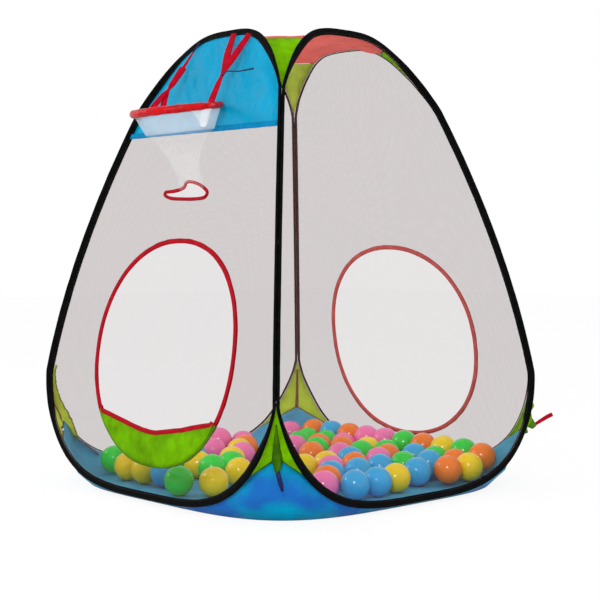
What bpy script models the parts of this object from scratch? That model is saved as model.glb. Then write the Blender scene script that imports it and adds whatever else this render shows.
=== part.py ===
"""A pop-up ball pit tent: four sprung mesh panels round a floor tray, with a roof and a ball hoop."""

import math

import bmesh
import bpy
from mathutils import Matrix, Vector

# The sprung loop that edges every panel, measured on the centre line of its binding
LOOP_HEIGHT = 0.900
LOOP_LIFT = 0.016
HALF_BASE = 0.372
TOP_LEAN = 0.209
LEAN_POWER = 1.75

# The stretch where neighbouring loops are sewn together, and the arcs below and above it
SEAM_START = 0.216
SEAM_LENGTH = 0.5325
BOTTOM_SIDE_POWER = 3.7
BOTTOM_END_POWER = 1.30
TOP_SIDE_POWER = 3.5
TOP_END_POWER = 1.41
BOTTOM_STEPS = 10
SIDE_STEPS = 8
TOP_STEPS = 9
STEP_SPREAD = 1.15

# The spring wire and the sleeve that joins its ends
WIRE_RADIUS = 0.00125
WIRE_END_GAP = 0.002
FERRULE_INNER = 0.00142
FERRULE_OUTER = 0.00180
FERRULE_LENGTH = 0.018
FERRULE_SIDES = 8

# The binding tape, folded over the wire and the panel's edge
TAPE_WIDTH = 0.0142
TAPE_THICKNESS = 0.0007
TAPE_SLOT = 0.0024
NOSE_RADIUS = 0.00285
NOSE_ANGLES = (-110.0, -38.0, 38.0, 110.0)
TURN_GAP = 0.057

# Sheets of cloth
MESH_THICKNESS = 0.0008
CLOTH_THICKNESS = 0.0008
EDGE_IN_SLOT = 0.0035
SLOT_MOUTH = 0.0015
EDGE_EASE = 0.022
GAP = 0.0003
SEAM_GAP = 0.0009

# The blue board over the front panel's mesh
BACKBOARD_DROP = 0.197
HEM_WIDTH = 0.009

# The crawl-in door, its sill, and the window in the back panel
DOOR_ACROSS = 0.020
DOOR_CENTRE = 0.273
DOOR_HALF_WIDTH = 0.207
DOOR_HALF_HEIGHT = 0.210
WINDOW_ACROSS = 0.003
WINDOW_CENTRE = 0.262
WINDOW_HALF_WIDTH = 0.212
WINDOW_HALF_HEIGHT = 0.207
OPENING_POWER = 2.15
OPENING_STEPS = 28
OPENING_TAPE = 0.009
OPENING_SLOT = 0.0024
LIP_HEIGHT = 0.057
LIP_RISE = 0.027
LIP_LAP = 0.005
LIP_STEPS = 10

# The slot that gives the ball back under the hoop
RETURN_ACROSS = 0.008
RETURN_CENTRE = 0.584
RETURN_HALF_WIDTH = 0.066
RETURN_HALF_HEIGHT = 0.020
RETURN_STEPS = 20
RETURN_TAPE = 0.006

# The ball hoop, its net and its straps
HOOP_ACROSS = 0.022
HOOP_HEIGHT = 0.764
HOOP_RADIUS = 0.084
HOOP_COVER_RADIUS = 0.0062
HOOP_COVER_THICKNESS = 0.0010
HOOP_RING_EASE = 0.0007
HOOP_DROOP = 8.5
HOOP_STEPS = 28
HOOP_SLIT = 36.0
NET_RINGS = 5
NET_BAND = 0.040
NET_TAPER = 0.78
NET_TOP_TAPER = 0.96
NET_OFF_BOARD = 0.003
NET_OFF_SLOT = 0.0035
RING_SIDES = 6
COVER_SIDES = 8
STRAP_WIDTH = 0.008
STRAP_THICKNESS = 0.0010
LEFT_STRAP_TOP = -0.084
LEFT_STRAP_FEET = (183.0, 199.0)
RIGHT_STRAP_TOPS = (0.018, 0.074)
RIGHT_STRAP_FOOT = 348.0
STRAP_FORK = 0.42
STRAP_NOTCH = 1.6
STRAP_LEAN = 0.3

# The gussets, the tray and the hems in its corners
ROOF_HALF_FLAT = 0.100
GUSSET_START_GAP = 0.011
GUSSET_BULGE = 0.10
TRAY_HEIGHT = 0.067
TRAY_PEAK = 0.036
TRAY_THICKNESS = 0.0010
TRAY_LAP = 0.0016
SEAM_INSET = 0.0036
ROOF_FLAT_SHARE = 0.55
FLOOR_HALF = 0.350
FLOOR_CORNER = 0.150
CORNER_HEM_WIDTH = 0.008
TIE_WIDTH = 0.007
TIE_LENGTH = 0.062
TIE_THICKNESS = 0.0012
TIE_ABOVE_SEAM = (0.35, 0.15)
CUTTER_REACH = (0.1, 1.4)

PANELS = ("front", "right", "back", "left")
CORNERS = ("front_right", "back_right", "back_left", "front_left")
QUARTER = math.pi / 2.0
SEAM_END = SEAM_START + SEAM_LENGTH
HEM_HEIGHT = LOOP_HEIGHT - BACKBOARD_DROP
FLANGE_HALF = (TAPE_SLOT + TAPE_THICKNESS) / 2.0
NOSE_CENTRE = TAPE_WIDTH / 2.0 - NOSE_RADIUS - TAPE_THICKNESS / 2.0
LAP = TAPE_WIDTH / 2.0 - SEAM_INSET

COLOURS = {
    "black_tape": (0.012, 0.012, 0.014, 1.0),
    "spring_steel": (0.35, 0.36, 0.38, 1.0),
    "brass": (0.55, 0.42, 0.18, 1.0),
    "white_mesh": (0.78, 0.76, 0.76, 1.0),
    "blue_cloth": (0.010, 0.180, 0.450, 1.0),
    "cyan_cloth": (0.020, 0.360, 0.620, 1.0),
    "lime_cloth": (0.250, 0.560, 0.010, 1.0),
    "red_cloth": (0.620, 0.030, 0.030, 1.0),
    "white_net": (0.85, 0.85, 0.85, 1.0),
    "brown_piping": (0.120, 0.040, 0.020, 1.0),
    "navy_tape": (0.010, 0.015, 0.060, 1.0),
}
METALS = ("spring_steel", "brass")


def half_width(height):
    """Distance from the tent's middle to a panel, at a height over the loop's lowest point."""
    return HALF_BASE - TOP_LEAN * (max(height, 0.0) / LOOP_HEIGHT) ** LEAN_POWER


def lean(height):
    """How fast a panel draws in with height."""
    return -TOP_LEAN * LEAN_POWER / LOOP_HEIGHT * (max(height, 0.0) / LOOP_HEIGHT) ** (LEAN_POWER - 1.0)


def normal_at(height):
    """The front panel's outward normal at a height."""
    return Vector((0.0, -1.0, -lean(height))).normalized()


def on_panel(across, height, out=0.0):
    """A point on the front panel, `out` metres proud of it."""
    base = Vector((across, -half_width(height), LOOP_LIFT + height))
    return base + normal_at(height) * out


def loop_width(height):
    """Half the loop's width at a height: superellipse arcs below and above the straight seam."""
    if height < SEAM_START:
        share, side, end = 1.0 - height / SEAM_START, BOTTOM_SIDE_POWER, BOTTOM_END_POWER
    elif height > SEAM_END:
        share, side, end = (height - SEAM_END) / (LOOP_HEIGHT - SEAM_END), TOP_SIDE_POWER, TOP_END_POWER
    else:
        return half_width(height)
    return half_width(height) * max(1.0 - min(share, 1.0) ** end, 0.0) ** (1.0 / side)


def loop_heights():
    """Heights of the loop's stations from its bottom to its top, with one at the backboard's hem."""
    heights = []
    for step in range(BOTTOM_STEPS):
        turn = QUARTER * (step / BOTTOM_STEPS) ** STEP_SPREAD
        heights.append(SEAM_START * (1.0 - math.cos(turn) ** (2.0 / BOTTOM_END_POWER)))
    for step in range(SIDE_STEPS):
        heights.append(SEAM_START + SEAM_LENGTH * step / SIDE_STEPS)
    for step in range(TOP_STEPS + 1):
        turn = QUARTER * (1.0 - (1.0 - step / TOP_STEPS) ** STEP_SPREAD)
        heights.append(SEAM_END + (LOOP_HEIGHT - SEAM_END) * math.sin(turn) ** (2.0 / TOP_END_POWER))
    nearest = min(heights[1:-1], key=lambda height: abs(height - HEM_HEIGHT))
    heights[heights.index(nearest)] = HEM_HEIGHT
    return sorted(heights)


def loop_points():
    """(across, height) round the loop: bottom middle, up the right side, and down the left."""
    heights = loop_heights()
    right = [(loop_width(height), height) for height in heights]
    left = [(-across, height) for across, height in right[1:-1]]
    return right + left[::-1]


def tape_profile(grow=0.0):
    """The folded tape's section: distance out from its centre line, and across its thickness."""
    flange = -TAPE_WIDTH / 2.0
    nose = [
        (
            NOSE_CENTRE + (NOSE_RADIUS + grow) * math.cos(math.radians(angle)),
            (NOSE_RADIUS + grow) * math.sin(math.radians(angle)),
        )
        for angle in NOSE_ANGLES
    ]
    return [(flange, -FLANGE_HALF - grow)] + nose + [(flange, FLANGE_HALF + grow)]


def station_frame(points, index):
    """Centre, outward direction and thickness direction of the tape at one station.

    Where two loops are sewn together the tape turns out of the panel to stand along the corner,
    and moves just clear of the plane between the two panels.
    """
    across, height = points[index]
    before = on_panel(*points[index - 1])
    after = on_panel(*points[(index + 1) % len(points)])
    centre = on_panel(across, height)
    along = ((centre - before).normalized() + (after - centre).normalized()).normalized()
    flat = along.cross(normal_at(height)).normalized()
    side = 1.0 if across >= 0.0 else -1.0
    corner = Vector((side, -1.0, 0.0)).normalized()
    fin = (corner - along * corner.dot(along)).normalized()
    away = min(max((half_width(height) - abs(across)) / TURN_GAP, 0.0), 1.0)
    turned = 1.0 - away * away * (3.0 - 2.0 * away)
    out = (flat * (1.0 - turned) + fin * turned).normalized()
    thick = out.cross(along).normalized()
    clear = Vector((-side, -1.0, 0.0)).normalized()
    reach = min(
        (centre + out * a + thick * b).dot(clear)
        for a, b in tape_profile(TAPE_THICKNESS / 2.0 / math.cos(math.radians(NOSE_ANGLES[-2])))
    )
    centre = centre + clear * max(GAP / 2.0 - reach, 0.0)
    return centre, out, thick


LOOP = loop_points()
FRAMES = [station_frame(LOOP, index) for index in range(len(LOOP))]


def tape_point(index, out, thick):
    """A point in the tape's own section at a station."""
    centre, out_way, thick_way = FRAMES[index]
    return centre + out_way * out + thick_way * thick


def station_near(across, height):
    """Index of the loop's station nearest to a place on the panel."""
    return min(
        range(len(LOOP)),
        key=lambda index: math.hypot(LOOP[index][0] - across, LOOP[index][1] - height),
    )


def material(name):
    """The Principled material of one colour, made once."""
    found = bpy.data.materials.get(name)
    if found is None:
        found = bpy.data.materials.new(name)
        found.use_nodes = True
        shader = found.node_tree.nodes["Principled BSDF"]
        shader.inputs["Base Color"].default_value = COLOURS[name]
        shader.inputs["Roughness"].default_value = 0.35 if name in METALS else 0.7
        shader.inputs["Metallic"].default_value = 1.0 if name in METALS else 0.0
    return found


def add_object(name, mesh, colour, parent=None, collection="ball_pit_tent"):
    """Put a mesh or curve in the scene as one named piece."""
    piece = bpy.data.objects.new(name, mesh)
    if not mesh.materials:
        mesh.materials.append(material(colour))
    bpy.data.collections[collection].objects.link(piece)
    piece.parent = parent
    return piece


def mesh_of(name, points, faces):
    """A mesh from points and faces."""
    mesh = bpy.data.meshes.new(name)
    mesh.from_pydata([tuple(point) for point in points], [], faces)
    mesh.update()
    return mesh


def strip_faces(rows, columns, round_rows=False, round_columns=False):
    """Quads of a grid of points stored row by row, closed round either way if asked."""
    faces = []
    for row in range(rows if round_rows else rows - 1):
        for column in range(columns if round_columns else columns - 1):
            here, there = row * columns, (row + 1) % rows * columns
            right = (column + 1) % columns
            faces.append((here + column, here + right, there + right, there + column))
    return faces


def solidify(piece, thickness):
    """Give an open surface its thickness, half to each side."""
    modifier = piece.modifiers.new("thickness", "SOLIDIFY")
    modifier.thickness = thickness
    modifier.offset = 0.0
    modifier.use_even_offset = True
    return piece


def cut_with(piece, cutter):
    """Cut a hole through a piece."""
    modifier = piece.modifiers.new("opening", "BOOLEAN")
    modifier.operation = "DIFFERENCE"
    modifier.solver = "EXACT"
    modifier.object = cutter


def edge_binding_mesh():
    """The tape folded over the loop, as an open section swept round it."""
    profile = tape_profile()
    points = [tape_point(index, a, b) for index in range(len(LOOP)) for a, b in profile]
    return mesh_of("edge_binding", points, strip_faces(len(LOOP), len(profile), round_rows=True))


def wire_curve():
    """The spring wire in the tape's fold, open at the sleeve."""
    nose = [tape_point(index, NOSE_CENTRE, 0.0) for index in range(len(LOOP))]
    middle = (nose[0] + nose[1]) / 2.0
    along = (nose[1] - nose[0]).normalized()
    route = [middle + along * WIRE_END_GAP / 2.0] + nose[1:] + [nose[0], middle - along * WIRE_END_GAP / 2.0]
    curve = bpy.data.curves.new("frame_wire", "CURVE")
    curve.dimensions = "3D"
    curve.bevel_depth = WIRE_RADIUS
    curve.bevel_resolution = 1
    curve.use_fill_caps = True
    spline = curve.splines.new("POLY")
    spline.points.add(len(route) - 1)
    for target, point in zip(spline.points, route):
        target.co = (*point, 1.0)
    return curve, middle, along


def ferrule_mesh():
    """The short sleeve over the wire's two ends, open at both ends."""
    work = bmesh.new()
    middle_radius = (FERRULE_INNER + FERRULE_OUTER) / 2.0
    bmesh.ops.create_cone(
        work, cap_ends=False, segments=FERRULE_SIDES,
        radius1=middle_radius, radius2=middle_radius, depth=FERRULE_LENGTH,
    )
    mesh = bpy.data.meshes.new("wire_ferrule")
    work.to_mesh(mesh)
    work.free()
    return mesh


def sheet_mesh(name, low=0.0, high=LOOP_HEIGHT):
    """A panel's cloth between two heights, its edge in the tape's slot.

    Each row runs straight across between the two stations at one height, so its cells are flat.
    """
    slot_end = -TAPE_WIDTH / 2.0 + EDGE_IN_SLOT
    slot_mouth = -TAPE_WIDTH / 2.0 - SLOT_MOUTH
    top = len(loop_heights()) - 1
    points = []
    rows = []
    for index in range(top + 1):
        height = LOOP[index][1]
        if not low - GAP < height < high + GAP:
            continue
        edge, mouth = tape_point(index, slot_end, 0.0), tape_point(index, slot_mouth, 0.0)
        if index in (0, top):
            row = [edge, mouth]
        else:
            inner = on_panel(max(mouth.x - EDGE_EASE, mouth.x / 2.0), mouth.z - LOOP_LIFT)
            row = [edge, mouth, inner]
            if height == HEM_HEIGHT:
                shift = GAP if low == HEM_HEIGHT else 0.0
                row = [point + Vector((0.0, 0.0, shift)) for point in row]
            row = [Vector((-point.x, point.y, point.z)) for point in row] + row[::-1]
        rows.append(range(len(points), len(points) + len(row)))
        points.extend(row)
    faces = []
    for below, above in zip(rows, rows[1:]):
        if len(below) == 2:
            edge, mouth = below
            faces += [(above[0], edge, mouth, above[1]), (edge, above[5], above[4], mouth)]
            faces += [(above[i], mouth, above[i + 1]) for i in (1, 2, 3)]
        elif len(above) == 2:
            edge, mouth = above
            faces += [(below[0], below[1], mouth, edge), (mouth, below[4], below[5], edge)]
            faces += [(below[i], below[i + 1], mouth) for i in (1, 2, 3)]
        else:
            faces += [(below[i], below[i + 1], above[i + 1], above[i]) for i in range(5)]
    return mesh_of(name, points, faces)


def outline(across, centre, half_wide, half_high, steps, power=2.0, grow=0.0):
    """(across, height) round a superellipse, anticlockwise from its right end."""
    points = []
    for step in range(steps):
        turn = 2.0 * math.pi * step / steps
        cosine, sine = math.cos(turn), math.sin(turn)
        points.append((
            across + math.copysign((half_wide + grow) * abs(cosine) ** (2.0 / power), cosine),
            centre + math.copysign((half_high + grow) * abs(sine) ** (2.0 / power), sine),
        ))
    return points


def door_outline(grow=0.0):
    """The door's edge."""
    return outline(
        DOOR_ACROSS, DOOR_CENTRE, DOOR_HALF_WIDTH, DOOR_HALF_HEIGHT, OPENING_STEPS, OPENING_POWER, grow
    )


def window_outline(grow=0.0):
    """The back window's edge."""
    return outline(
        WINDOW_ACROSS, WINDOW_CENTRE, WINDOW_HALF_WIDTH, WINDOW_HALF_HEIGHT, OPENING_STEPS, OPENING_POWER,
        grow,
    )


def return_outline(grow=0.0):
    """The ball-return slot's edge."""
    return outline(
        RETURN_ACROSS, RETURN_CENTRE, RETURN_HALF_WIDTH, RETURN_HALF_HEIGHT, RETURN_STEPS, grow=grow
    )


def opening_cutter(name, edge, parent):
    """A prism that cuts one opening through a panel."""
    front = [Vector((across, -HALF_BASE * CUTTER_REACH[1], LOOP_LIFT + height)) for across, height in edge]
    back = [Vector((point.x, -HALF_BASE * CUTTER_REACH[0], point.z)) for point in front]
    count = len(edge)
    faces = [tuple(range(count)), tuple(range(2 * count - 1, count - 1, -1))]
    faces += [(i, i + count, (i + 1) % count + count, (i + 1) % count) for i in range(count)]
    cutter = add_object(name, mesh_of(name, front + back, faces), "white_mesh", parent, "cutters")
    cutter.hide_render = True
    cutter.display_type = "WIRE"
    return cutter


def opening_binding_mesh(name, edge, tape, slot):
    """Tape folded over an opening's edge, open away from the opening."""
    count = len(edge)
    points = []
    half = (slot + TAPE_THICKNESS) / 2.0
    fold = half + GAP
    for index, (across, height) in enumerate(edge):
        before, after = edge[index - 1], edge[(index + 1) % count]
        run = Vector((after[0] - before[0], after[1] - before[1])).normalized()
        away = Vector((run.y, -run.x))
        for reach, depth in ((tape - fold, -half), (-fold, -half), (-fold, half), (tape - fold, half)):
            points.append(on_panel(across + away.x * reach, height + away.y * reach, depth))
    return mesh_of(name, points, strip_faces(count, 4, round_rows=True))


def hem_mesh():
    """The tape sewn across the joint between the board and the mesh below it."""
    middle = station_near(loop_width(HEM_HEIGHT), HEM_HEIGHT)
    reach = tape_point(middle, -TAPE_WIDTH / 2.0, 0.0).x - EDGE_EASE
    proud = MESH_THICKNESS / 2.0 + GAP + CLOTH_THICKNESS / 2.0
    points = [
        on_panel(across, HEM_HEIGHT + rise, proud)
        for rise in (-HEM_WIDTH / 2.0, HEM_WIDTH / 2.0)
        for across in (-reach, 0.0, reach)
    ]
    return mesh_of("backboard_hem", points, strip_faces(2, 3))


def lip_mesh():
    """The cloth sill across the bottom of the door, lapped behind the door's tape."""
    behind = -(OPENING_SLOT / 2.0 + TAPE_THICKNESS + GAP + CLOTH_THICKNESS / 2.0)
    bottom = DOOR_CENTRE - DOOR_HALF_HEIGHT
    top_ends = bottom + LIP_HEIGHT + LIP_RISE
    share = (DOOR_CENTRE - top_ends) / DOOR_HALF_HEIGHT
    reach = DOOR_HALF_WIDTH * (1.0 - share ** OPENING_POWER) ** (1.0 / OPENING_POWER)
    points = []
    for step in range(LIP_STEPS + 1):
        side = math.sin(QUARTER * (2.0 * step / LIP_STEPS - 1.0))
        across = reach * side
        sunk = (1.0 - min(abs(across) / DOOR_HALF_WIDTH, 1.0) ** OPENING_POWER) ** (1.0 / OPENING_POWER)
        low = DOOR_CENTRE - DOOR_HALF_HEIGHT * sunk - LIP_LAP
        high = bottom + LIP_HEIGHT + LIP_RISE * side * side
        wide = DOOR_ACROSS + across + LIP_LAP * side
        for part in range(3):
            points.append(on_panel(wide, low + (high - low) * part / 2.0, behind))
    return mesh_of("door_lip", points, strip_faces(LIP_STEPS + 1, 3))


def mirrored(point):
    """The front panel's point seen in the plane through the front right corner."""
    return Vector((-point.y, -point.x, point.z))


def seam_edge(index, depth):
    """Where a gusset, the roof or the tray is sewn behind the tape at a station."""
    flange = FLANGE_HALF + (NOSE_RADIUS - FLANGE_HALF) * (TAPE_WIDTH / 2.0 - LAP) / TAPE_WIDTH
    return tape_point(index, -LAP, -(flange + TAPE_THICKNESS / 2.0 + SEAM_GAP + depth / 2.0))


def gusset_stations(upper):
    """The right side's stations where the loops have parted, from the seam outwards."""
    found = []
    for index in range(len(loop_heights())):
        across, height = LOOP[index]
        parted = half_width(height) - across > GUSSET_START_GAP
        if upper and height > SEAM_END and parted and across > ROOF_HALF_FLAT:
            found.append(index)
        if not upper and TRAY_HEIGHT < height < SEAM_START and parted:
            found.append(index)
    if upper:
        return found
    return found[::-1]


def gusset_rows(upper):
    """Rows of a gusset at the front right corner: front loop, middle, right loop."""
    edges = [seam_edge(index, CLOTH_THICKNESS) for index in gusset_stations(upper)]
    edges.append(roof_ends() if upper else tray_ends(0.0))
    rows = []
    for edge in edges:
        share = (edge.z - edges[0].z) / (edges[-1].z - edges[0].z)
        peak = 0.0 if upper else TRAY_PEAK * share
        rows.append([edge, corner_middle(edge, peak), mirrored(edge)])
    return rows


def gusset_mesh(upper):
    """The cloth between two loops at a corner, above or below their seam."""
    rows = gusset_rows(upper)
    points = [point for row in rows for point in row]
    return mesh_of("top_gusset" if upper else "bottom_gusset", points, strip_faces(len(rows), 3))


def between_stations(height, depth):
    """The sewn edge behind the tape at any height on the right side."""
    heights = loop_heights()
    above = next(i for i, station in enumerate(heights) if station >= height)
    share = (height - heights[above - 1]) / (heights[above] - heights[above - 1])
    return seam_edge(above - 1, depth).lerp(seam_edge(above, depth), share)


def roof_height():
    """Height on the loop where the roof ends and a top gusset starts."""
    low, high = SEAM_END, LOOP_HEIGHT
    for _ in range(40):
        middle = (low + high) / 2.0
        if loop_width(middle) > ROOF_HALF_FLAT:
            low = middle
        else:
            high = middle
    return low


def roof_ends():
    """The end of a top gusset at the roof."""
    return between_stations(roof_height(), CLOTH_THICKNESS)


def tray_ends(drop):
    """The end of the tray's rim on the loop, at its green and blue seam."""
    return between_stations(TRAY_HEIGHT - drop, CLOTH_THICKNESS)


def turned(point, quarters):
    """A point turned about the tent's middle by quarter turns."""
    return Matrix.Rotation(QUARTER * quarters, 4, "Z") @ point


def roof_mesh():
    """The red roof inside the loops' tops."""
    stations = [i for i in range(len(LOOP)) if LOOP[i][1] > roof_height() and LOOP[i][1] > SEAM_END]
    right_end = between_stations(roof_height() + TRAY_LAP, CLOTH_THICKNESS)
    side = [seam_edge(index, CLOTH_THICKNESS) for index in stations]
    left_end = Vector((-right_end.x, right_end.y, right_end.z))
    side = [left_end] + sorted(side, key=lambda point: point.x) + [right_end]
    side.append(corner_middle(right_end, 0.0))
    rim = [turned(point, quarter) for quarter in range(4) for point in side]
    flat = side[len(side) // 2].z
    inner = [Vector((point.x * ROOF_FLAT_SHARE, point.y * ROOF_FLAT_SHARE, flat)) for point in rim]
    count = len(rim)
    faces = [(i, (i + 1) % count, (i + 1) % count + count, i + count) for i in range(count)]
    faces.append(tuple(range(count, 2 * count)))
    return mesh_of("roof", rim + inner, faces)


def tray_rim():
    """The tray's rim along the front panel's loop, from its left end to its right."""
    stations = [i for i in range(len(LOOP)) if LOOP[i][1] < TRAY_HEIGHT - 3.0 * TRAY_LAP]
    side = sorted((seam_edge(index, TRAY_THICKNESS) for index in stations), key=lambda point: point.x)
    right_end = tray_ends(TRAY_LAP)
    return [Vector((-right_end.x, right_end.y, right_end.z))] + side + [right_end]


def corner_middle(edge, peak):
    """The middle of a corner's seam, proud of the straight line between its ends."""
    other = mirrored(edge)
    middle = (edge + other) / 2.0 + Vector((0.0, 0.0, peak))
    return middle + Vector((1.0, -1.0, 0.0)).normalized() * (edge - other).length * GUSSET_BULGE


def tray_mesh():
    """The floor and its turned-up side, one sheet that rests on the ground."""
    rim, ground = [], []
    for quarter in range(4):
        for point in tray_rim():
            rim.append(turned(point, quarter))
            limit = FLOOR_HALF - FLOOR_CORNER
            over = max(abs(point.x) - limit, 0.0)
            inset = FLOOR_CORNER - math.sqrt(max(FLOOR_CORNER ** 2 - min(over, FLOOR_CORNER) ** 2, 0.0))
            x = math.copysign(min(abs(point.x), FLOOR_HALF), point.x)
            ground.append(turned(Vector((x, -FLOOR_HALF + inset, 0.0)), quarter))
        corner = corner_middle(tray_ends(TRAY_LAP), TRAY_PEAK)
        rim.append(turned(corner, quarter))
        round_corner = FLOOR_HALF - FLOOR_CORNER * (1.0 - math.sqrt(0.5))
        ground.append(turned(Vector((round_corner, -round_corner, 0.0)), quarter))
    base = TRAY_THICKNESS / 2.0
    ground = [Vector((point.x, point.y, base)) for point in ground]
    count = len(rim)
    faces = [(i + count, (i + 1) % count + count, (i + 1) % count, i) for i in range(count)]
    faces.append(tuple(range(2 * count - 1, count - 1, -1)))
    return mesh_of("floor_tray", rim + ground, faces)


def corner_hem_mesh():
    """The piping over the joint between a bottom gusset and the tray, bent to follow both."""
    above, joint = gusset_rows(False)[-2:]
    outward = Vector((1.0, -1.0, 0.0)).normalized()
    proud = (CLOTH_THICKNESS + TRAY_THICKNESS) / 2.0 + 2.0 * GAP + CLOTH_THICKNESS / 2.0
    floor_corner = FLOOR_HALF - FLOOR_CORNER * (1.0 - math.sqrt(0.5))
    foot = Vector((floor_corner, -floor_corner, 0.0))
    inset = CORNER_HEM_WIDTH / (joint[0] - joint[1]).length
    rows = []
    for column in range(3):
        start = joint[column].lerp(joint[1], inset)
        up_way = (above[column].lerp(above[1], inset) - start).normalized()
        down_way = (foot - joint[1]).normalized()
        half = CORNER_HEM_WIDTH / 2.0
        rows.append([start + up_way * half, start, start + down_way * half])
    points = [rows[column][row] + outward * proud for row in range(3) for column in range(3)]
    return mesh_of("corner_hem", points, strip_faces(3, 3))


def tie_mesh():
    """The loose tie that hangs at a bottom corner, over the piping."""
    above, joint = gusset_rows(False)[-2:]
    outward = Vector((1.0, -1.0, 0.0)).normalized()
    across = Vector((1.0, 1.0, 0.0)).normalized() * TIE_WIDTH / 2.0
    seam = joint[1]
    up_way = (above[1] - seam).normalized()
    proud = (CLOTH_THICKNESS + TRAY_THICKNESS) / 2.0 + 2.0 * CLOTH_THICKNESS + 6.0 * GAP + TIE_THICKNESS / 2.0
    centres = [seam + up_way * TIE_LENGTH * share for share in TIE_ABOVE_SEAM]
    centres += [seam, seam - Vector((0.0, 0.0, TIE_LENGTH * (1.0 - TIE_ABOVE_SEAM[0])))]
    points = []
    for centre in centres:
        middle = centre + outward * proud
        points += [middle - across, middle + across]
    return mesh_of("corner_tie", points, strip_faces(4, 2))


def hoop_centre():
    """The ring's middle, its way out from the board and its way up."""
    droop = math.radians(HOOP_DROOP)
    away = Vector((0.0, -math.cos(droop), -math.sin(droop)))
    seat = MESH_THICKNESS / 2.0 + GAP + HOOP_COVER_RADIUS
    hinge = on_panel(HOOP_ACROSS, HOOP_HEIGHT - LOOP_LIFT, seat)
    return hinge + away * HOOP_RADIUS, away, away.cross(Vector((1.0, 0.0, 0.0))), hinge


def hoop_ring_mesh():
    """The plastic ring inside the hoop's cover."""
    centre, away, up, _ = hoop_centre()
    radius = HOOP_COVER_RADIUS - HOOP_COVER_THICKNESS - HOOP_RING_EASE
    points = []
    for step in range(HOOP_STEPS):
        turn = 2.0 * math.pi * step / HOOP_STEPS
        out = Vector((1.0, 0.0, 0.0)) * math.cos(turn) + away * math.sin(turn)
        for side in range(RING_SIDES):
            angle = 2.0 * math.pi * side / RING_SIDES
            reach = HOOP_RADIUS + radius * math.cos(angle)
            points.append(centre + out * reach + up * radius * math.sin(angle))
    return mesh_of("hoop_ring", points, strip_faces(HOOP_STEPS, RING_SIDES, True, True))


def hoop_cover_mesh():
    """The cloth cover round the ring, open underneath where the net is sewn in."""
    centre, away, up, _ = hoop_centre()
    middle = HOOP_COVER_RADIUS - HOOP_COVER_THICKNESS / 2.0
    points = []
    for step in range(HOOP_STEPS):
        turn = 2.0 * math.pi * step / HOOP_STEPS
        out = Vector((1.0, 0.0, 0.0)) * math.cos(turn) + away * math.sin(turn)
        for side in range(COVER_SIDES):
            angle = math.radians(-90.0 + HOOP_SLIT / 2.0 + (360.0 - HOOP_SLIT) * side / (COVER_SIDES - 1))
            reach = HOOP_RADIUS + middle * math.cos(angle)
            points.append(centre + out * reach + up * middle * math.sin(angle))
    return mesh_of("hoop_cover", points, strip_faces(HOOP_STEPS, COVER_SIDES, round_rows=True))


def net_mesh():
    """The net that hangs from the ring and narrows to the ball-return slot."""
    centre, away, up, _ = hoop_centre()
    points = []
    start = HOOP_COVER_RADIUS + GAP
    for ring in range(NET_RINGS + 1):
        share = max(ring - 1, 0) / (NET_RINGS - 1)
        ease = share * share * (3.0 - 2.0 * share)
        for step in range(HOOP_STEPS):
            turn = 2.0 * math.pi * step / HOOP_STEPS
            drop = start + (NET_BAND if ring else 0.0)
            radius = HOOP_RADIUS * (NET_TAPER if ring else NET_TOP_TAPER)
            out = Vector((1.0, 0.0, 0.0)) * math.cos(turn) + away * math.sin(turn)
            top = centre + out * radius - up * drop
            top.y = min(top.y, on_panel(0.0, max(top.z - LOOP_LIFT, 0.0), NET_OFF_BOARD).y)
            across = RETURN_ACROSS + (RETURN_HALF_WIDTH - RETURN_TAPE) * math.cos(turn)
            height = RETURN_CENTRE - (RETURN_HALF_HEIGHT - RETURN_TAPE) * math.sin(turn)
            low = on_panel(across, height, NET_OFF_SLOT)
            point = top.lerp(low, share)
            point.x = top.x + (low.x - top.x) * ease
            points.append(point)
    return mesh_of("hoop_net", points, strip_faces(NET_RINGS + 1, HOOP_STEPS, round_columns=True))


def strap_mesh(name, tops, fork, feet, face):
    """A flat strap in a Y, from its ends on the binding to its ends on the ring."""
    half = STRAP_WIDTH / 2.0

    def ends(point, way):
        """The two corners of a strap's end."""
        side = way.cross(face).normalized() * half
        return [point - side, point + side]

    points = []
    faces = []
    down = (sum(feet, Vector()) / len(feet) - sum(tops, Vector()) / len(tops)).normalized()
    side = down.cross(face).normalized()
    notch = half * (STRAP_NOTCH if len(feet) > 1 else -STRAP_NOTCH)
    points += [fork - side * half, fork + side * half, fork + down * notch]
    faces.append((0, 1, 2))
    single, double = (tops[0], feet) if len(feet) > 1 else (feet[0], tops)
    way = down if len(feet) > 1 else -down
    points += ends(single, down)
    faces.append((0, 1, 4, 3))
    for number, tip in enumerate(sorted(double, key=lambda point: point.dot(side))):
        start = len(points)
        points += ends(tip, way if way.dot(down) > 0.0 else -way)
        inner = (0, 2) if number == 0 else (2, 1)
        faces.append((inner[0], inner[1], start + 1, start))
    mesh = mesh_of(name, points, faces)
    work = bmesh.new()
    work.from_mesh(mesh)
    bmesh.ops.recalc_face_normals(work, faces=work.faces)
    work.to_mesh(mesh)
    work.free()
    return mesh


def strap_top(across):
    """Where a hoop strap is sewn on the outside of the front loop's binding."""
    upper = [index for index in range(len(LOOP)) if LOOP[index][1] > SEAM_END]
    index = min(upper, key=lambda index: abs(LOOP[index][0] - across))
    return tape_point(index, 0.0, NOSE_RADIUS + TAPE_THICKNESS / 2.0 + GAP + STRAP_THICKNESS / 2.0)


def ring_top(degrees):
    """Where a hoop strap meets the top of the ring's cover."""
    centre, away, up, _ = hoop_centre()
    turn = math.radians(degrees)
    out = Vector((1.0, 0.0, 0.0)) * math.cos(turn) + away * math.sin(turn)
    seat = HOOP_COVER_RADIUS + GAP + STRAP_THICKNESS / 2.0
    return centre + out * HOOP_RADIUS + up * seat


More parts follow.
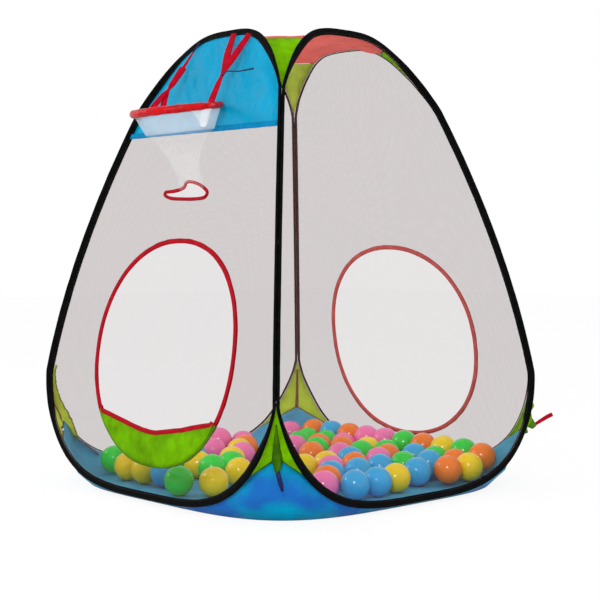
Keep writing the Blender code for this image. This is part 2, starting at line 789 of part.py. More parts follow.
def clear_scene():
    """Remove what the scene holds and make the two collections."""
    for piece in list(bpy.data.objects):
        bpy.data.objects.remove(piece, do_unlink=True)
    for name in ("ball_pit_tent", "cutters"):
        found = bpy.data.collections.get(name) or bpy.data.collections.new(name)
        if found.name not in bpy.context.scene.collection.children:
            bpy.context.scene.collection.children.link(found)


def add_empty(name, turn=0.0, place=(0.0, 0.0, 0.0), parent=None):
    """An empty that carries pieces."""
    empty = bpy.data.objects.new(name, None)
    empty.rotation_euler = (0.0, 0.0, turn)
    empty.location = place
    empty.parent = parent
    bpy.data.collections["ball_pit_tent"].objects.link(empty)
    return empty


def build_frames(carriers):
    """The wire, sleeve and binding of every loop."""
    wire, middle, along = wire_curve()
    sleeve = ferrule_mesh()
    tape = edge_binding_mesh()
    for panel, carrier in zip(PANELS, carriers):
        add_object(f"{panel}_frame_wire", wire, "spring_steel", carrier)
        ferrule = solidify(
            add_object(f"{panel}_wire_ferrule", sleeve, "brass", carrier), FERRULE_OUTER - FERRULE_INNER
        )
        ferrule.location = middle
        ferrule.rotation_euler = along.to_track_quat("Z", "Y").to_euler()
        solidify(add_object(f"{panel}_edge_binding", tape, "black_tape", carrier), TAPE_THICKNESS)


def build_panels(carriers):
    """The four panels' cloth with the front's door and return slot and the back's window."""
    front, right, back, left = carriers
    plain = sheet_mesh("mesh_panel")
    below_hem = sheet_mesh("front_mesh_panel", high=HEM_HEIGHT)
    solidify(add_object("right_mesh_panel", plain, "white_mesh", right), MESH_THICKNESS)
    solidify(add_object("left_mesh_panel", plain, "white_mesh", left), MESH_THICKNESS)
    window = solidify(add_object("back_mesh_panel", plain, "white_mesh", back), MESH_THICKNESS)
    cut_with(window, opening_cutter("window_cutter", window_outline(), back))
    mesh = solidify(add_object("front_mesh_panel", below_hem, "white_mesh", front), MESH_THICKNESS)
    cut_with(mesh, opening_cutter("door_cutter", door_outline(), front))
    cut_with(mesh, opening_cutter("return_cutter", return_outline(), front))
    binding = opening_binding_mesh("window_binding", window_outline(), OPENING_TAPE, OPENING_SLOT)
    solidify(add_object("window_binding", binding, "red_cloth", back), TAPE_THICKNESS)
    binding = opening_binding_mesh("door_binding", door_outline(), OPENING_TAPE, OPENING_SLOT)
    solidify(add_object("door_binding", binding, "red_cloth", front), TAPE_THICKNESS)
    binding = opening_binding_mesh("return_slot_binding", return_outline(), RETURN_TAPE, OPENING_SLOT)
    solidify(add_object("return_slot_binding", binding, "red_cloth", front), TAPE_THICKNESS)
    solidify(add_object("door_lip", lip_mesh(), "lime_cloth", front), CLOTH_THICKNESS)
    board = sheet_mesh("backboard", low=HEM_HEIGHT)
    solidify(add_object("backboard", board, "cyan_cloth", front), MESH_THICKNESS)
    solidify(add_object("backboard_hem", hem_mesh(), "blue_cloth", front), CLOTH_THICKNESS)


def build_spans(tent, carriers):
    """The roof, gussets, tray, hems and ties that join the panels."""
    solidify(add_object("roof", roof_mesh(), "red_cloth", tent), CLOTH_THICKNESS)
    solidify(add_object("floor_tray", tray_mesh(), "blue_cloth", tent), TRAY_THICKNESS)
    top, bottom = gusset_mesh(True), gusset_mesh(False)
    hem, tie = corner_hem_mesh(), tie_mesh()
    for corner, carrier in zip(CORNERS, carriers):
        solidify(add_object(f"{corner}_top_gusset", top, "lime_cloth", carrier), CLOTH_THICKNESS)
        solidify(add_object(f"{corner}_bottom_gusset", bottom, "lime_cloth", carrier), CLOTH_THICKNESS)
        solidify(add_object(f"{corner}_corner_hem", hem, "brown_piping", carrier), CLOTH_THICKNESS)
        solidify(add_object(f"{corner}_tie", tie, "navy_tape", carrier), TIE_THICKNESS)


def build_hoop(front):
    """The hoop, hinged where it lies against the board, with its net and straps."""
    _, _, _, hinge = hoop_centre()
    pivot = add_empty("hoop_pivot", place=hinge, parent=front)
    pieces = [
        add_object("hoop_ring", hoop_ring_mesh(), "white_mesh"),
        solidify(add_object("hoop_cover", hoop_cover_mesh(), "red_cloth"), HOOP_COVER_THICKNESS),
        solidify(add_object("hoop_net", net_mesh(), "white_net"), CLOTH_THICKNESS),
    ]
    face = Vector((0.0, -1.0, STRAP_LEAN)).normalized()
    tops = [strap_top(LEFT_STRAP_TOP)]
    feet = [ring_top(degrees) for degrees in LEFT_STRAP_FEET]
    fork = tops[0].lerp((feet[0] + feet[1]) / 2.0, 1.0 - STRAP_FORK)
    left = strap_mesh("hoop_strap_left", tops, fork, feet, face)
    pieces.append(solidify(add_object("hoop_strap_left", left, "red_cloth"), STRAP_THICKNESS))
    tops = [strap_top(across) for across in RIGHT_STRAP_TOPS]
    feet = [ring_top(RIGHT_STRAP_FOOT)]
    fork = feet[0].lerp((tops[0] + tops[1]) / 2.0, 1.0 - STRAP_FORK)
    right = strap_mesh("hoop_strap_right", tops, fork, feet, face)
    pieces.append(solidify(add_object("hoop_strap_right", right, "red_cloth"), STRAP_THICKNESS))
    for piece in pieces:
        piece.parent = pivot
        piece.matrix_parent_inverse = Matrix.Translation(-hinge)


def main():
    """Build the whole tent, standing on the ground round the origin."""
    clear_scene()
    tent = add_empty("tent")
    carriers = [
        add_empty(f"{panel}_carrier", turn=QUARTER * number, parent=tent)
        for number, panel in enumerate(PANELS)
    ]
    build_frames(carriers)
    build_panels(carriers)
    build_spans(tent, carriers)
    build_hoop(carriers[0])


main()
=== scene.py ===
"""The looks of a pop-up ball pit tent: cloth, net, tape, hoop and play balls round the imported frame."""

import logging
import math
from collections.abc import Callable, Sequence
from dataclasses import dataclass, field
from enum import Enum

import bmesh
import bpy
from mathutils import Matrix, Vector, noise
from mathutils.geometry import delaunay_2d_cdt
from mathutils.kdtree import KDTree


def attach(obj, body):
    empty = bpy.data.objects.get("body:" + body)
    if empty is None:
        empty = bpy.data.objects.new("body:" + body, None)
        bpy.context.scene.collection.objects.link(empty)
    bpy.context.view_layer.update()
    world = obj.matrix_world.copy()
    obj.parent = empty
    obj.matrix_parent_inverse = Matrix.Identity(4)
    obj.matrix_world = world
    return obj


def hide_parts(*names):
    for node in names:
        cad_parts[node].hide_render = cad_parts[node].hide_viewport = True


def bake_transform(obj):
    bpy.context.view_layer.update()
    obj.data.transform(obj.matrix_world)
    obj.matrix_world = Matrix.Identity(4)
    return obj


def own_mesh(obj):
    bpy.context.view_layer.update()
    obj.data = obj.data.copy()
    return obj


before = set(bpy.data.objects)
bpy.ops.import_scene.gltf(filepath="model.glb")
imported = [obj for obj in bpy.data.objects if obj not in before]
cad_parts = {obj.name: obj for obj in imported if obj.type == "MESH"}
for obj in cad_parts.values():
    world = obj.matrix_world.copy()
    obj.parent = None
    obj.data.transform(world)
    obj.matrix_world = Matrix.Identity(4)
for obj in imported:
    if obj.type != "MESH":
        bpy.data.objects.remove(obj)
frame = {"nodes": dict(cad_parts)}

logging.basicConfig(level=logging.INFO, format="%(message)s")
log = logging.getLogger("ball_pit_tent")

QUARTER = math.pi / 2.0
UV_NAME = "cloth"
WHITE = (1.0, 1.0, 1.0, 1.0)
CLOTH_THICKNESS = 0.0006
STITCH_LIFT = 0.00015
TINY = 1e-6
# The least share of its rectangle that a sheet's area fills, before the rectangle is taken smaller
LEAST_FILLED = 0.34
# The turns of the tape's rounded fold, in degrees
NOSE_STEP = 38.0
NOSE_TURNS = (-110.0, -74.0, -NOSE_STEP, 0.0, NOSE_STEP, 74.0, 110.0)
# The way out of the tent at the front right corner
OUTWARD = Vector((1.0, -1.0, 0.0)).normalized()
Rows = list[list[Vector]]
Outline = list[tuple[float, float]]
Colour = tuple[float, float, float]
Mesh, Piece, Material = bpy.types.Mesh, bpy.types.Object, bpy.types.Material
Node, Socket, NodeTree = bpy.types.Node, bpy.types.NodeSocket, bpy.types.NodeTree


class Labelled(Enum):
    """A choice whose plain name goes into the pieces' names."""

    @property
    def label(self) -> str:
        """The plain name."""
        return self.name.lower()


class Side(Labelled):
    """The four panels, in quarter turns from the front."""

    FRONT = 0
    RIGHT = 1
    BACK = 2
    LEFT = 3

    @property
    def body(self) -> str:
        """The moving body that this panel belongs to."""
        return f"{self.label}_side"


class Corner(Labelled):
    """The four corners, in quarter turns from the one between the front and right panels."""

    FRONT_RIGHT = 0
    BACK_RIGHT = 1
    BACK_LEFT = 2
    FRONT_LEFT = 3


# The bodies on either side of each corner: one body, or two joined by a fold
CORNER_BODIES: dict[Corner, tuple[str, ...]] = {
    Corner.FRONT_RIGHT: ("front_side", "right_side"),
    Corner.BACK_RIGHT: ("back_side",),
    Corner.BACK_LEFT: ("left_side", "back_side"),
    Corner.FRONT_LEFT: ("left_side", "front_side"),
}


def smooth(value: float) -> float:
    """An eased 0 to 1."""
    value = min(max(value, 0.0), 1.0)
    return value * value * (3.0 - 2.0 * value)


def ripple(point: Vector, size: float, seed: float = 0.0) -> float:
    """Smooth noise from -1 to 1.

    Args:
        point: where it is read.
        size: the width of its waves, in metres.
        seed: shifts it, so that two pieces differ.

    Returns:
        The noise there.
    """
    return noise.noise(point / size + Vector((seed, seed * 0.7, -seed)))


def crease(point: Vector, size: float, seed: float = 0.0) -> float:
    """Sharp folds from 0 to 1, as thin cloth keeps after packing.

    Args:
        point: where it is read.
        size: the distance between folds, in metres.
        seed: shifts the pattern.

    Returns:
        1 on a fold and 0 far from one.
    """
    place = point / size + Vector((seed, -seed, seed * 0.5))
    return (1.0 - abs(noise.noise(place)) * 2.2) ** 3 if abs(noise.noise(place)) < 0.45 else 0.0


def turned(point: Vector, quarters: int) -> Vector:
    """A point turned about the tent's middle by quarter turns."""
    return Matrix.Rotation(QUARTER * quarters, 3, "Z") @ point


def mirrored(point: Vector) -> Vector:
    """The front panel's point seen in the plane through the front right corner."""
    return Vector((-point.y, -point.x, point.z))


class BallColour(Labelled):
    """The five colours of the play balls."""

    YELLOW = (1.00, 0.68, 0.010)
    GREEN = (0.010, 0.700, 0.055)
    BLUE = (0.020, 0.430, 0.800)
    ORANGE = (0.99, 0.220, 0.020)
    PINK = (0.98, 0.200, 0.470)


class NodeSheet:
    """A node tree, with short calls to add and link its nodes."""

    def __init__(self, tree: NodeTree) -> None:
        """Start on the empty tree."""
        self.tree = tree
        tree.nodes.clear()

    def node(self, kind: str, inputs: dict | None = None, **settings) -> Node:
        """Add a node.

        Args:
            kind: the node's Blender type.
            inputs: socket values, or sockets to link from, by the input's name or number.
            settings: the node's own properties.

        Returns:
            The new node.
        """
        made = self.tree.nodes.new(kind)
        for key, value in settings.items():
            setattr(made, key, value)
        for key, value in (inputs or {}).items():
            if isinstance(value, Socket):
                self.tree.links.new(value, made.inputs[key])
            else:
                made.inputs[key].default_value = value
        return made

    def math(self, operation: str, first, second=0.0) -> Socket:
        """The result of a Math node on two values or sockets."""
        return self.node("ShaderNodeMath", {0: first, 1: second}, operation=operation).outputs[0]


class MaterialSheet(NodeSheet):
    """One material's nodes, and the patterns that several finishes share."""

    def __init__(self, name: str) -> None:
        """Start an empty material."""
        self.material = bpy.data.materials.new(name)
        self.material.use_nodes = True
        super().__init__(self.material.node_tree)

    def cloth(self) -> Socket:
        """The piece's UV map, in metres."""
        return self.node("ShaderNodeUVMap", uv_map=UV_NAME).outputs[0]

    def place(self) -> Socket:
        """The place on the object, in metres."""
        return self.node("ShaderNodeTexCoord").outputs["Object"]

    def mix(self, share, first, second) -> Socket:
        """A colour between two colours or sockets."""
        return self.node("ShaderNodeMix", {0: share, 6: first, 7: second}, data_type="RGBA").outputs[2]

    def noise(self, where, scale: float, detail: float = 3.0, roughness: float = 0.55) -> Socket:
        """The value of a Noise texture."""
        values = {"Vector": where, "Scale": scale, "Detail": detail, "Roughness": roughness}
        return self.node("ShaderNodeTexNoise", values).outputs[0]

    def ramp(self, value, *stops: tuple[float, float]) -> Socket:
        """A value run through grey stops of (position, level)."""
        made = self.node("ShaderNodeValToRGB", {0: value})
        band = made.color_ramp
        while len(band.elements) < len(stops):
            band.elements.new(0.5)
        for element, (position, level) in zip(band.elements, stops):
            element.position = position
            element.color = (level, level, level, 1.0)
        return made.outputs[0]

    def bump(self, height, strength: float, distance: float, normal=None) -> Socket:
        """A bumped normal, over another one if given."""
        values = {"Height": height, "Strength": strength, "Distance": distance}
        if normal is not None:
            values["Normal"] = normal
        return self.node("ShaderNodeBump", values).outputs[0]

    def ribbed(self, rib: float) -> tuple[Socket, Socket, Socket]:
        """A tape's place across its width, its cloudy wear, and its normal with ribs and puckers."""
        place = self.place()
        split = self.node("ShaderNodeSeparateXYZ", {0: self.cloth()}).outputs
        ribs = self.math("SINE", self.math("MULTIPLY", split[0], 2.0 * math.pi / rib))
        puckers = self.bump(self.noise(place, 110.0, 2.0), 0.30, 0.0015)
        return split[1], self.noise(place, 60.0, 3.0), self.bump(ribs, 0.25, 0.0003, puckers)

    def surface(
        self, colour, normal, roughness, shine: float = 0.5, more: dict[str, float] | None = None
    ) -> Node:
        """A Principled shader, with `more` for its other inputs."""
        values = {"Base Color": colour, "Normal": normal, "Roughness": roughness, "Specular IOR Level": shine}
        return self.node("ShaderNodeBsdfPrincipled", values | (more or {}))

    def lit_through(self, front: Node, share: float, colour) -> Node:
        """A shader that lets a share of the light through in a colour."""
        lit = self.node("ShaderNodeBsdfTranslucent", {"Color": colour})
        return self.node("ShaderNodeMixShader", {0: share, 1: front.outputs[0], 2: lit.outputs[0]})

    def close(self, shader: Node) -> Material:
        """Link the last shader to the output and give the material."""
        self.node("ShaderNodeOutputMaterial", {"Surface": shader.outputs[0]})
        return self.material


class GrowSheet(NodeSheet):
    """A Geometry Nodes tree that puts one thing on many places, in one material."""

    def __init__(self, name: str) -> None:
        """Open the tree with the geometry it starts from, a seed and its material."""
        super().__init__(bpy.data.node_groups.new(name, "GeometryNodeTree"))
        face = self.tree.interface
        for label, kind in (("Geometry", "Geometry"), ("Seed", "Int"), ("Material", "Material")):
            face.new_socket(label, in_out="INPUT", socket_type=f"NodeSocket{kind}")
        face.new_socket("Grown", in_out="OUTPUT", socket_type="NodeSocketGeometry")
        self.start = self.node("NodeGroupInput").outputs

    def close(self, instances: Socket) -> NodeTree:
        """Realize the instances, set their material and give the tree."""
        real = self.node("GeometryNodeRealizeInstances", {"Geometry": instances})
        finish = self.node(
            "GeometryNodeSetMaterial", {"Geometry": real.outputs[0], "Material": self.start["Material"]}
        )
        self.node("NodeGroupOutput", {0: finish.outputs[0]})
        return self.tree


def tone(colour: Sequence[float], level: float) -> tuple[float, float, float, float]:
    """A colour made lighter or darker, with alpha."""
    return (*(min(channel * level, 1.0) for channel in colour), 1.0)


@dataclass(frozen=True)
class WovenCloth:
    """Thin woven nylon that lets some light through, with soft folds in its surface and painted shade in their hollows.
    """

    name: str
    colour: Colour
    through: float = 0.30
    glow: Colour = (0.0, 0.0, 0.0)
    roughness: float = 0.52
    weave: float = 0.0009
    folds: float = 0.45
    fold_size: float = 0.035
    variation: float = 0.28
    shine: float = 0.10
    second: Colour = (0.0, 0.0, 0.0)

    def build(self) -> Material:
        """Make the material."""
        sheet = MaterialSheet(self.name)
        place = sheet.place()
        split = sheet.node("ShaderNodeSeparateXYZ", {0: sheet.cloth()}).outputs
        threads = [
            sheet.math("SINE", sheet.math("MULTIPLY", split[axis], 2.0 * math.pi / self.weave)) for axis in (0, 1)
        ]
        weave = sheet.math("MULTIPLY", *threads)
        soft = sheet.noise(place, 1.0 / self.fold_size, 4.0, 0.6)
        broad = sheet.noise(place, 0.28 / self.fold_size, 2.0, 0.5)
        cells = sheet.node(
            "ShaderNodeTexVoronoi", {"Vector": place, "Scale": 0.7 / self.fold_size}, feature="DISTANCE_TO_EDGE"
        ).outputs[0]
        ridges = sheet.ramp(cells, (0.0, 1.0), (0.10, 0.45), (0.35, 0.0))
        relief = sheet.math("ADD", sheet.math("MULTIPLY", ridges, 0.22), soft)
        # Painted shade: the colour darkens where the fold noise that also raises the bump sinks, and lightens where it
        # rises, with broad random tone over that
        shade = sheet.ramp(sheet.math("MULTIPLY", sheet.math("ADD", soft, broad), 0.5), (0.34, 0.0), (0.66, 1.0))
        colour = sheet.mix(shade, tone(self.colour, 1.0 - self.variation), tone(self.colour, 1.0 + self.variation))
        if any(self.second):
            colour = sheet.mix(sheet.ramp(broad, (0.50, 0.0), (0.62, 0.75)), colour, tone(self.second, 1.0))
        colour = sheet.mix(sheet.ramp(weave, (0.0, 0.86), (1.0, 1.0)), tone(self.colour, 0.6), colour)
        normal = sheet.bump(weave, 0.12, 0.0003, sheet.bump(relief, self.folds, 0.004))
        rough = sheet.ramp(soft, (0.3, self.roughness - 0.10), (0.7, self.roughness + 0.10))
        front = sheet.surface(colour, normal, rough, self.shine)
        glow = self.glow if any(self.glow) else self.colour
        # The light let through follows the same painted shade
        lit = sheet.mix(shade, tone(glow, 0.85), tone(glow, 1.15))
        return sheet.close(sheet.lit_through(front, self.through, lit))


@dataclass(frozen=True)
class KnitNet:
    """Knitted net with rows of small round holes, which shows what is behind it."""

    name: str
    colour: Colour
    thread: float = 0.32
    hole: float = 0.05
    pitch: float = 0.0026
    through: float = 0.35

    def build(self) -> Material:
        """Make the material."""
        sheet = MaterialSheet(self.name)
        cloth = sheet.cloth()
        waves = []
        for degrees in (0.0, 60.0, 120.0):
            turn = math.radians(degrees)
            way = (math.cos(turn), math.sin(turn), 0.0)
            along = sheet.node("ShaderNodeVectorMath", {0: cloth, 1: way}, operation="DOT_PRODUCT").outputs["Value"]
            turns = sheet.math("MULTIPLY", along, 2.0 * math.pi / (self.pitch * math.sqrt(0.75)))
            waves.append(sheet.math("COSINE", turns))
        lattice = sheet.math("ADD", sheet.math("ADD", waves[0], waves[1]), waves[2])
        knit = sheet.ramp(sheet.math("MULTIPLY_ADD", lattice, 0.222), (0.62, 1.0), (0.82, 0.0))
        colour = sheet.mix(sheet.noise(sheet.place(), 7.0, 2.0), tone(self.colour, 0.86), tone(self.colour, 1.12))
        path = sheet.node("ShaderNodeLightPath").outputs
        shadow = sheet.math("MAXIMUM", path["Is Shadow Ray"], path["Is Diffuse Ray"])
        alpha = sheet.math("ADD", sheet.math("MULTIPLY", knit, self.thread - self.hole), self.hole)
        alpha = sheet.math("MULTIPLY", alpha, sheet.math("SUBTRACT", 1.0, sheet.math("MULTIPLY", shadow, 0.65)))
        front = sheet.surface(colour, sheet.bump(knit, 0.25, 0.0004), 0.85, 0.2)
        thread = sheet.lit_through(front, self.through, colour)
        clear = sheet.node("ShaderNodeBsdfTransparent")
        seen = {0: alpha, 1: clear.outputs[0], 2: thread.outputs[0]}
        return sheet.close(sheet.node("ShaderNodeMixShader", seen))


@dataclass(frozen=True)
class RibbedTape:
    """Binding tape with fine ribs across it, a little worn along its fold."""

    name: str
    colour: Colour
    worn: Colour
    rib: float = 0.0011
    roughness: float = 0.62
    shine: float = 0.12

    def build(self) -> Material:
        """Make the material."""
        sheet = MaterialSheet(self.name)
        _, cloud, normal = sheet.ribbed(self.rib)
        wear = sheet.ramp(cloud, (0.45, 0.0), (0.78, 0.8))
        colour = sheet.mix(wear, tone(self.colour, 1.0), tone(self.worn, 1.0))
        rough = sheet.ramp(cloud, (0.3, self.roughness - 0.08), (0.7, self.roughness + 0.08))
        return sheet.close(sheet.surface(colour, normal, rough, self.shine))


@dataclass(frozen=True)
class EdgeTape:
    """The loops' black tape, with the pale tape that covers it on the inside of the tent."""

    name: str = "black_binding"
    black: Colour = (0.0012, 0.0012, 0.0013)
    worn: Colour = (0.0045, 0.0045, 0.005)
    pale: Colour = (0.60, 0.54, 0.53)
    pale_band: tuple[float, float] = (0.0020, 0.0072)
    rib: float = 0.0011

    def build(self) -> Material:
        """Make the material."""
        sheet = MaterialSheet(self.name)
        across, cloud, normal = sheet.ribbed(self.rib)
        wear = sheet.ramp(cloud, (0.45, 0.0), (0.78, 1.0))
        black = sheet.mix(wear, tone(self.black, 1.0), tone(self.worn, 1.0))
        pale = sheet.mix(cloud, tone(self.pale, 0.9), tone(self.pale, 1.1))
        past_start = sheet.math("GREATER_THAN", across, self.pale_band[0])
        inside = sheet.math("MULTIPLY", past_start, sheet.math("LESS_THAN", across, self.pale_band[1]))
        rough = sheet.ramp(cloud, (0.3, 0.58), (0.7, 0.74))
        return sheet.close(sheet.surface(sheet.mix(inside, black, pale), normal, rough, 0.03))


@dataclass(frozen=True)
class BallPlastic:
    """Thin blow-moulded plastic with a faint seam and cloudy colour, glossy all over."""

    name: str
    colour: Colour

    def build(self) -> Material:
        """Make the material."""
        sheet = MaterialSheet(self.name)
        local = sheet.node("ShaderNodeAttribute", attribute_name="ball_place").outputs["Vector"]
        tint = sheet.node("ShaderNodeAttribute", attribute_name="ball_tint").outputs["Fac"]
        cloud = sheet.noise(local, 45.0, 2.0)
        base = sheet.mix(cloud, tone(self.colour, 0.88), tone(self.colour, 1.08))
        base = sheet.mix(sheet.math("MULTIPLY", tint, 0.16), base, tone(self.colour, 0.62))
        height = sheet.node("ShaderNodeSeparateXYZ", {0: local}).outputs[2]
        seam = sheet.ramp(sheet.math("ABSOLUTE", height), (0.0, 1.0), (0.0009, 0.0))
        normal = sheet.bump(seam, 0.35, 0.0005, sheet.bump(cloud, 0.08, 0.002))
        front = sheet.surface(base, normal, 0.13, 0.32, {"Coat Weight": 0.25, "Coat Roughness": 0.05})
        return sheet.close(sheet.lit_through(front, 0.08, base))


@dataclass(frozen=True)
class DrawnMetal:
    """Drawn wire or crimped sleeve with fine lines and a little tarnish."""

    name: str
    colour: Colour
    tarnish: Colour

    def build(self) -> Material:
        """Make the material."""
        sheet = MaterialSheet(self.name)
        place = sheet.place()
        cloud = sheet.noise(place, 40.0, 4.0)
        stain = sheet.ramp(cloud, (0.4, 0.0), (0.75, 1.0))
        colour = sheet.mix(stain, tone(self.colour, 1.0), tone(self.tarnish, 1.0))
        normal = sheet.bump(sheet.noise(place, 900.0, 2.0), 0.15, 0.0002)
        rough = sheet.ramp(cloud, (0.3, 0.24), (0.8, 0.46))
        return sheet.close(sheet.surface(colour, normal, rough, more={"Metallic": 1.0}))


@dataclass(frozen=True)
class SewingThread:
    """Twisted sewing thread."""

    name: str
    colour: Colour

    def build(self) -> Material:
        """Make the material."""
        sheet = MaterialSheet(self.name)
        twist = sheet.noise(sheet.place(), 1400.0, 1.0)
        colour = sheet.mix(twist, tone(self.colour, 0.7), tone(self.colour, 1.3))
        return sheet.close(sheet.surface(colour, sheet.bump(twist, 0.3, 0.0002), 0.55))


class Finishes:
    """Every finish of the tent, made once."""

    def __init__(self) -> None:
        """Build all the materials."""
        self.tape = EdgeTape().build()
        self.welt = RibbedTape("black_welt", (0.0012, 0.0012, 0.0013), (0.004, 0.004, 0.0045), shine=0.03).build()
        self.red_tape = RibbedTape("red_binding", (0.30, 0.001, 0.008), (0.46, 0.004, 0.014), shine=0.04).build()
        self.window_tape = RibbedTape("window_binding", (0.50, 0.070, 0.065), (0.66, 0.15, 0.13)).build()
        self.lime_tape = RibbedTape("lime_binding", (0.060, 0.150, 0.004), (0.13, 0.30, 0.010)).build()
        self.navy_tape = RibbedTape("navy_tie", (0.008, 0.010, 0.060), (0.030, 0.040, 0.16)).build()
        self.piping = RibbedTape("brown_piping", (0.160, 0.048, 0.036), (0.26, 0.095, 0.070)).build()
        self.green_hem = RibbedTape("green_hem", (0.030, 0.105, 0.002), (0.07, 0.20, 0.004), shine=0.03).build()
        self.blue_hem = RibbedTape("blue_hem", (0.001, 0.165, 0.35), (0.002, 0.22, 0.44), shine=0.03).build()
        self.white_gather = KnitNet("gathered_net", (0.86, 0.89, 0.92), thread=0.62, hole=0.34).build()
        self.net = KnitNet("panel_net", (0.135, 0.052, 0.048), thread=0.29, hole=0.045).build()
        self.hoop_net = KnitNet("hoop_net", (0.66, 0.72, 0.78), thread=0.52, hole=0.22, pitch=0.0022).build()
        self.funnel_net = KnitNet("funnel_net", (0.92, 0.93, 0.94), thread=0.12, hole=0.03, pitch=0.0022).build()
        self.board = WovenCloth(
            "cyan_satin", (0.0005, 0.275, 0.475), through=0.10, roughness=0.40, folds=0.9, fold_size=0.034,
            variation=0.09, shine=0.06,
        ).build()
        self.lime = WovenCloth(
            "lime_taffeta", (0.170, 0.43, 0.0004), through=0.46, glow=(0.50, 0.80, 0.050), fold_size=0.020,
            variation=0.40, shine=0.03,
        ).build()
        # A paler, lit copy of the lime cloth for the back left and front left corners: painted backlight
        self.far_lime = WovenCloth(
            "lime_taffeta_worn", (0.30, 0.52, 0.020), through=0.64, glow=(0.92, 0.98, 0.34), fold_size=0.020,
            variation=0.30, shine=0.03,
        ).build()
        self.red = WovenCloth(
            "red_taffeta", (0.88, 0.170, 0.150), through=0.66, glow=(1.0, 0.42, 0.38), fold_size=0.030, shine=0.04,
            variation=0.14,
        ).build()
        self.tray = WovenCloth(
            "blue_taffeta", (0.0005, 0.330, 0.54), through=0.15, glow=(0.0005, 0.36, 0.62), fold_size=0.040,
            roughness=0.42, folds=0.8, variation=0.34, second=(0.020, 0.060, 0.50), shine=0.03,
        ).build()
        # A lighter, lit copy of the blue tray cloth: painted light for the tray's inside and the loose blue cloth
        self.lining = WovenCloth(
            "blue_lining", (0.120, 0.58, 0.82), through=0.40, glow=(0.24, 0.74, 0.98), fold_size=0.045,
            roughness=0.50, folds=0.8, variation=0.20, shine=0.06,
        ).build()
        self.cover = WovenCloth(
            "red_satin", (0.47, 0.001, 0.004), through=0.05, roughness=0.26, folds=0.7, fold_size=0.014,
            variation=0.22, shine=0.16,
        ).build()
        self.strap = RibbedTape(
            "red_webbing", (0.34, 0.001, 0.012), (0.55, 0.005, 0.022), rib=0.0014, shine=0.03
        ).build()
        self.steel = DrawnMetal("spring_wire", (0.42, 0.43, 0.45), (0.24, 0.25, 0.27)).build()
        self.brass = DrawnMetal("crimped_sleeve", (0.62, 0.47, 0.20), (0.36, 0.25, 0.10)).build()
        self.ring = BallPlastic("ring_plastic", (0.78, 0.78, 0.76)).build()
        self.black_thread = SewingThread("black_thread", (0.014, 0.014, 0.016)).build()
        self.red_thread = SewingThread("red_thread", (0.30, 0.012, 0.016)).build()
        self.balls = {ball: BallPlastic(f"ball_{ball.label}", ball.value).build() for ball in BallColour}


def bare_mesh(name: str, points: Sequence[Vector], faces: list[tuple[int, ...]]) -> Mesh:
    """A mesh from points and faces."""
    mesh = bpy.data.meshes.new(name)
    mesh.from_pydata([tuple(point) for point in points], [], faces)
    mesh.update()
    return mesh


def shown(name: str, mesh: Mesh, material: Material, soft: bool = True) -> Piece:
    """Put a mesh in the scene as one piece.

    Args:
        name: the piece's name.
        mesh: its mesh, in place.
        material: its finish.
        soft: shade it smooth.

    Returns:
        The new object, at the origin.
    """
    piece = bpy.data.objects.new(name, mesh)
    mesh.materials.clear()
    mesh.materials.append(material)
    if soft:
        mesh.shade_smooth()
    bpy.context.scene.collection.objects.link(piece)
    return piece


def grid_mesh(
    name: str, rows: Rows, closed_rows: bool = False, closed_columns: bool = False,
    along: Sequence[float] | None = None,
) -> Mesh:
    """Quads over a grid of points, with a UV map in metres.

    Args:
        name: the mesh's name.
        rows: the points, row by row.
        closed_rows: join the last row to the first.
        closed_columns: join each row's last point to its first.
        along: distance of each row, with one more for a closed grid.

    Returns:
        The mesh.
    """
    deep, wide = len(rows), len(rows[0])
    if along is None:
        along = distances([row[wide // 2] for row in rows], closed_rows)
    across = distances(rows[deep // 2], closed_columns)
    faces, corners = [], []
    for row in range(deep if closed_rows else deep - 1):
        for column in range(wide if closed_columns else wide - 1):
            cells = ((row, column), (row, column + 1), (row + 1, column + 1), (row + 1, column))
            faces.append(tuple(r % deep * wide + c % wide for r, c in cells))
            corners += [(along[r], across[c]) for r, c in cells]
    mesh = bare_mesh(name, [point for row in rows for point in row], faces)
    paint_uv(mesh, corners)
    return mesh


def cut_size(rows: Rows) -> tuple[float, float]:
    """The rectangle that a sheet's rows are cut from: its longest row and its longest column."""
    wide = max(distances(row)[-1] for row in rows)
    deep = max(distances([row[column] for row in rows])[-1] for column in range(0, len(rows[0]), 3))
    return round(wide, 3), round(deep, 3)


def distances(points: Sequence[Vector], closed: bool = False) -> list[float]:
    """How far along a line each point is, and back to the first if closed."""
    found = [0.0]
    for before, after in zip(points, points[1:]):
        found.append(found[-1] + (after - before).length)
    if closed:
        found.append(found[-1] + (points[0] - points[-1]).length)
    return found


def paint_uv(mesh: Mesh, corners: Sequence[tuple[float, float]]) -> None:
    """Give a mesh its UV map, one pair for each face corner."""
    layer = mesh.uv_layers.new(name=UV_NAME)
    for target, pair in zip(layer.data, corners):
        target.uv = pair


def thicken(piece: Piece, thickness: float) -> Piece:
    """Give an open sheet its thickness."""
    modifier = piece.modifiers.new("thickness", "SOLIDIFY")
    modifier.thickness = thickness
    modifier.offset = 0.0
    return piece


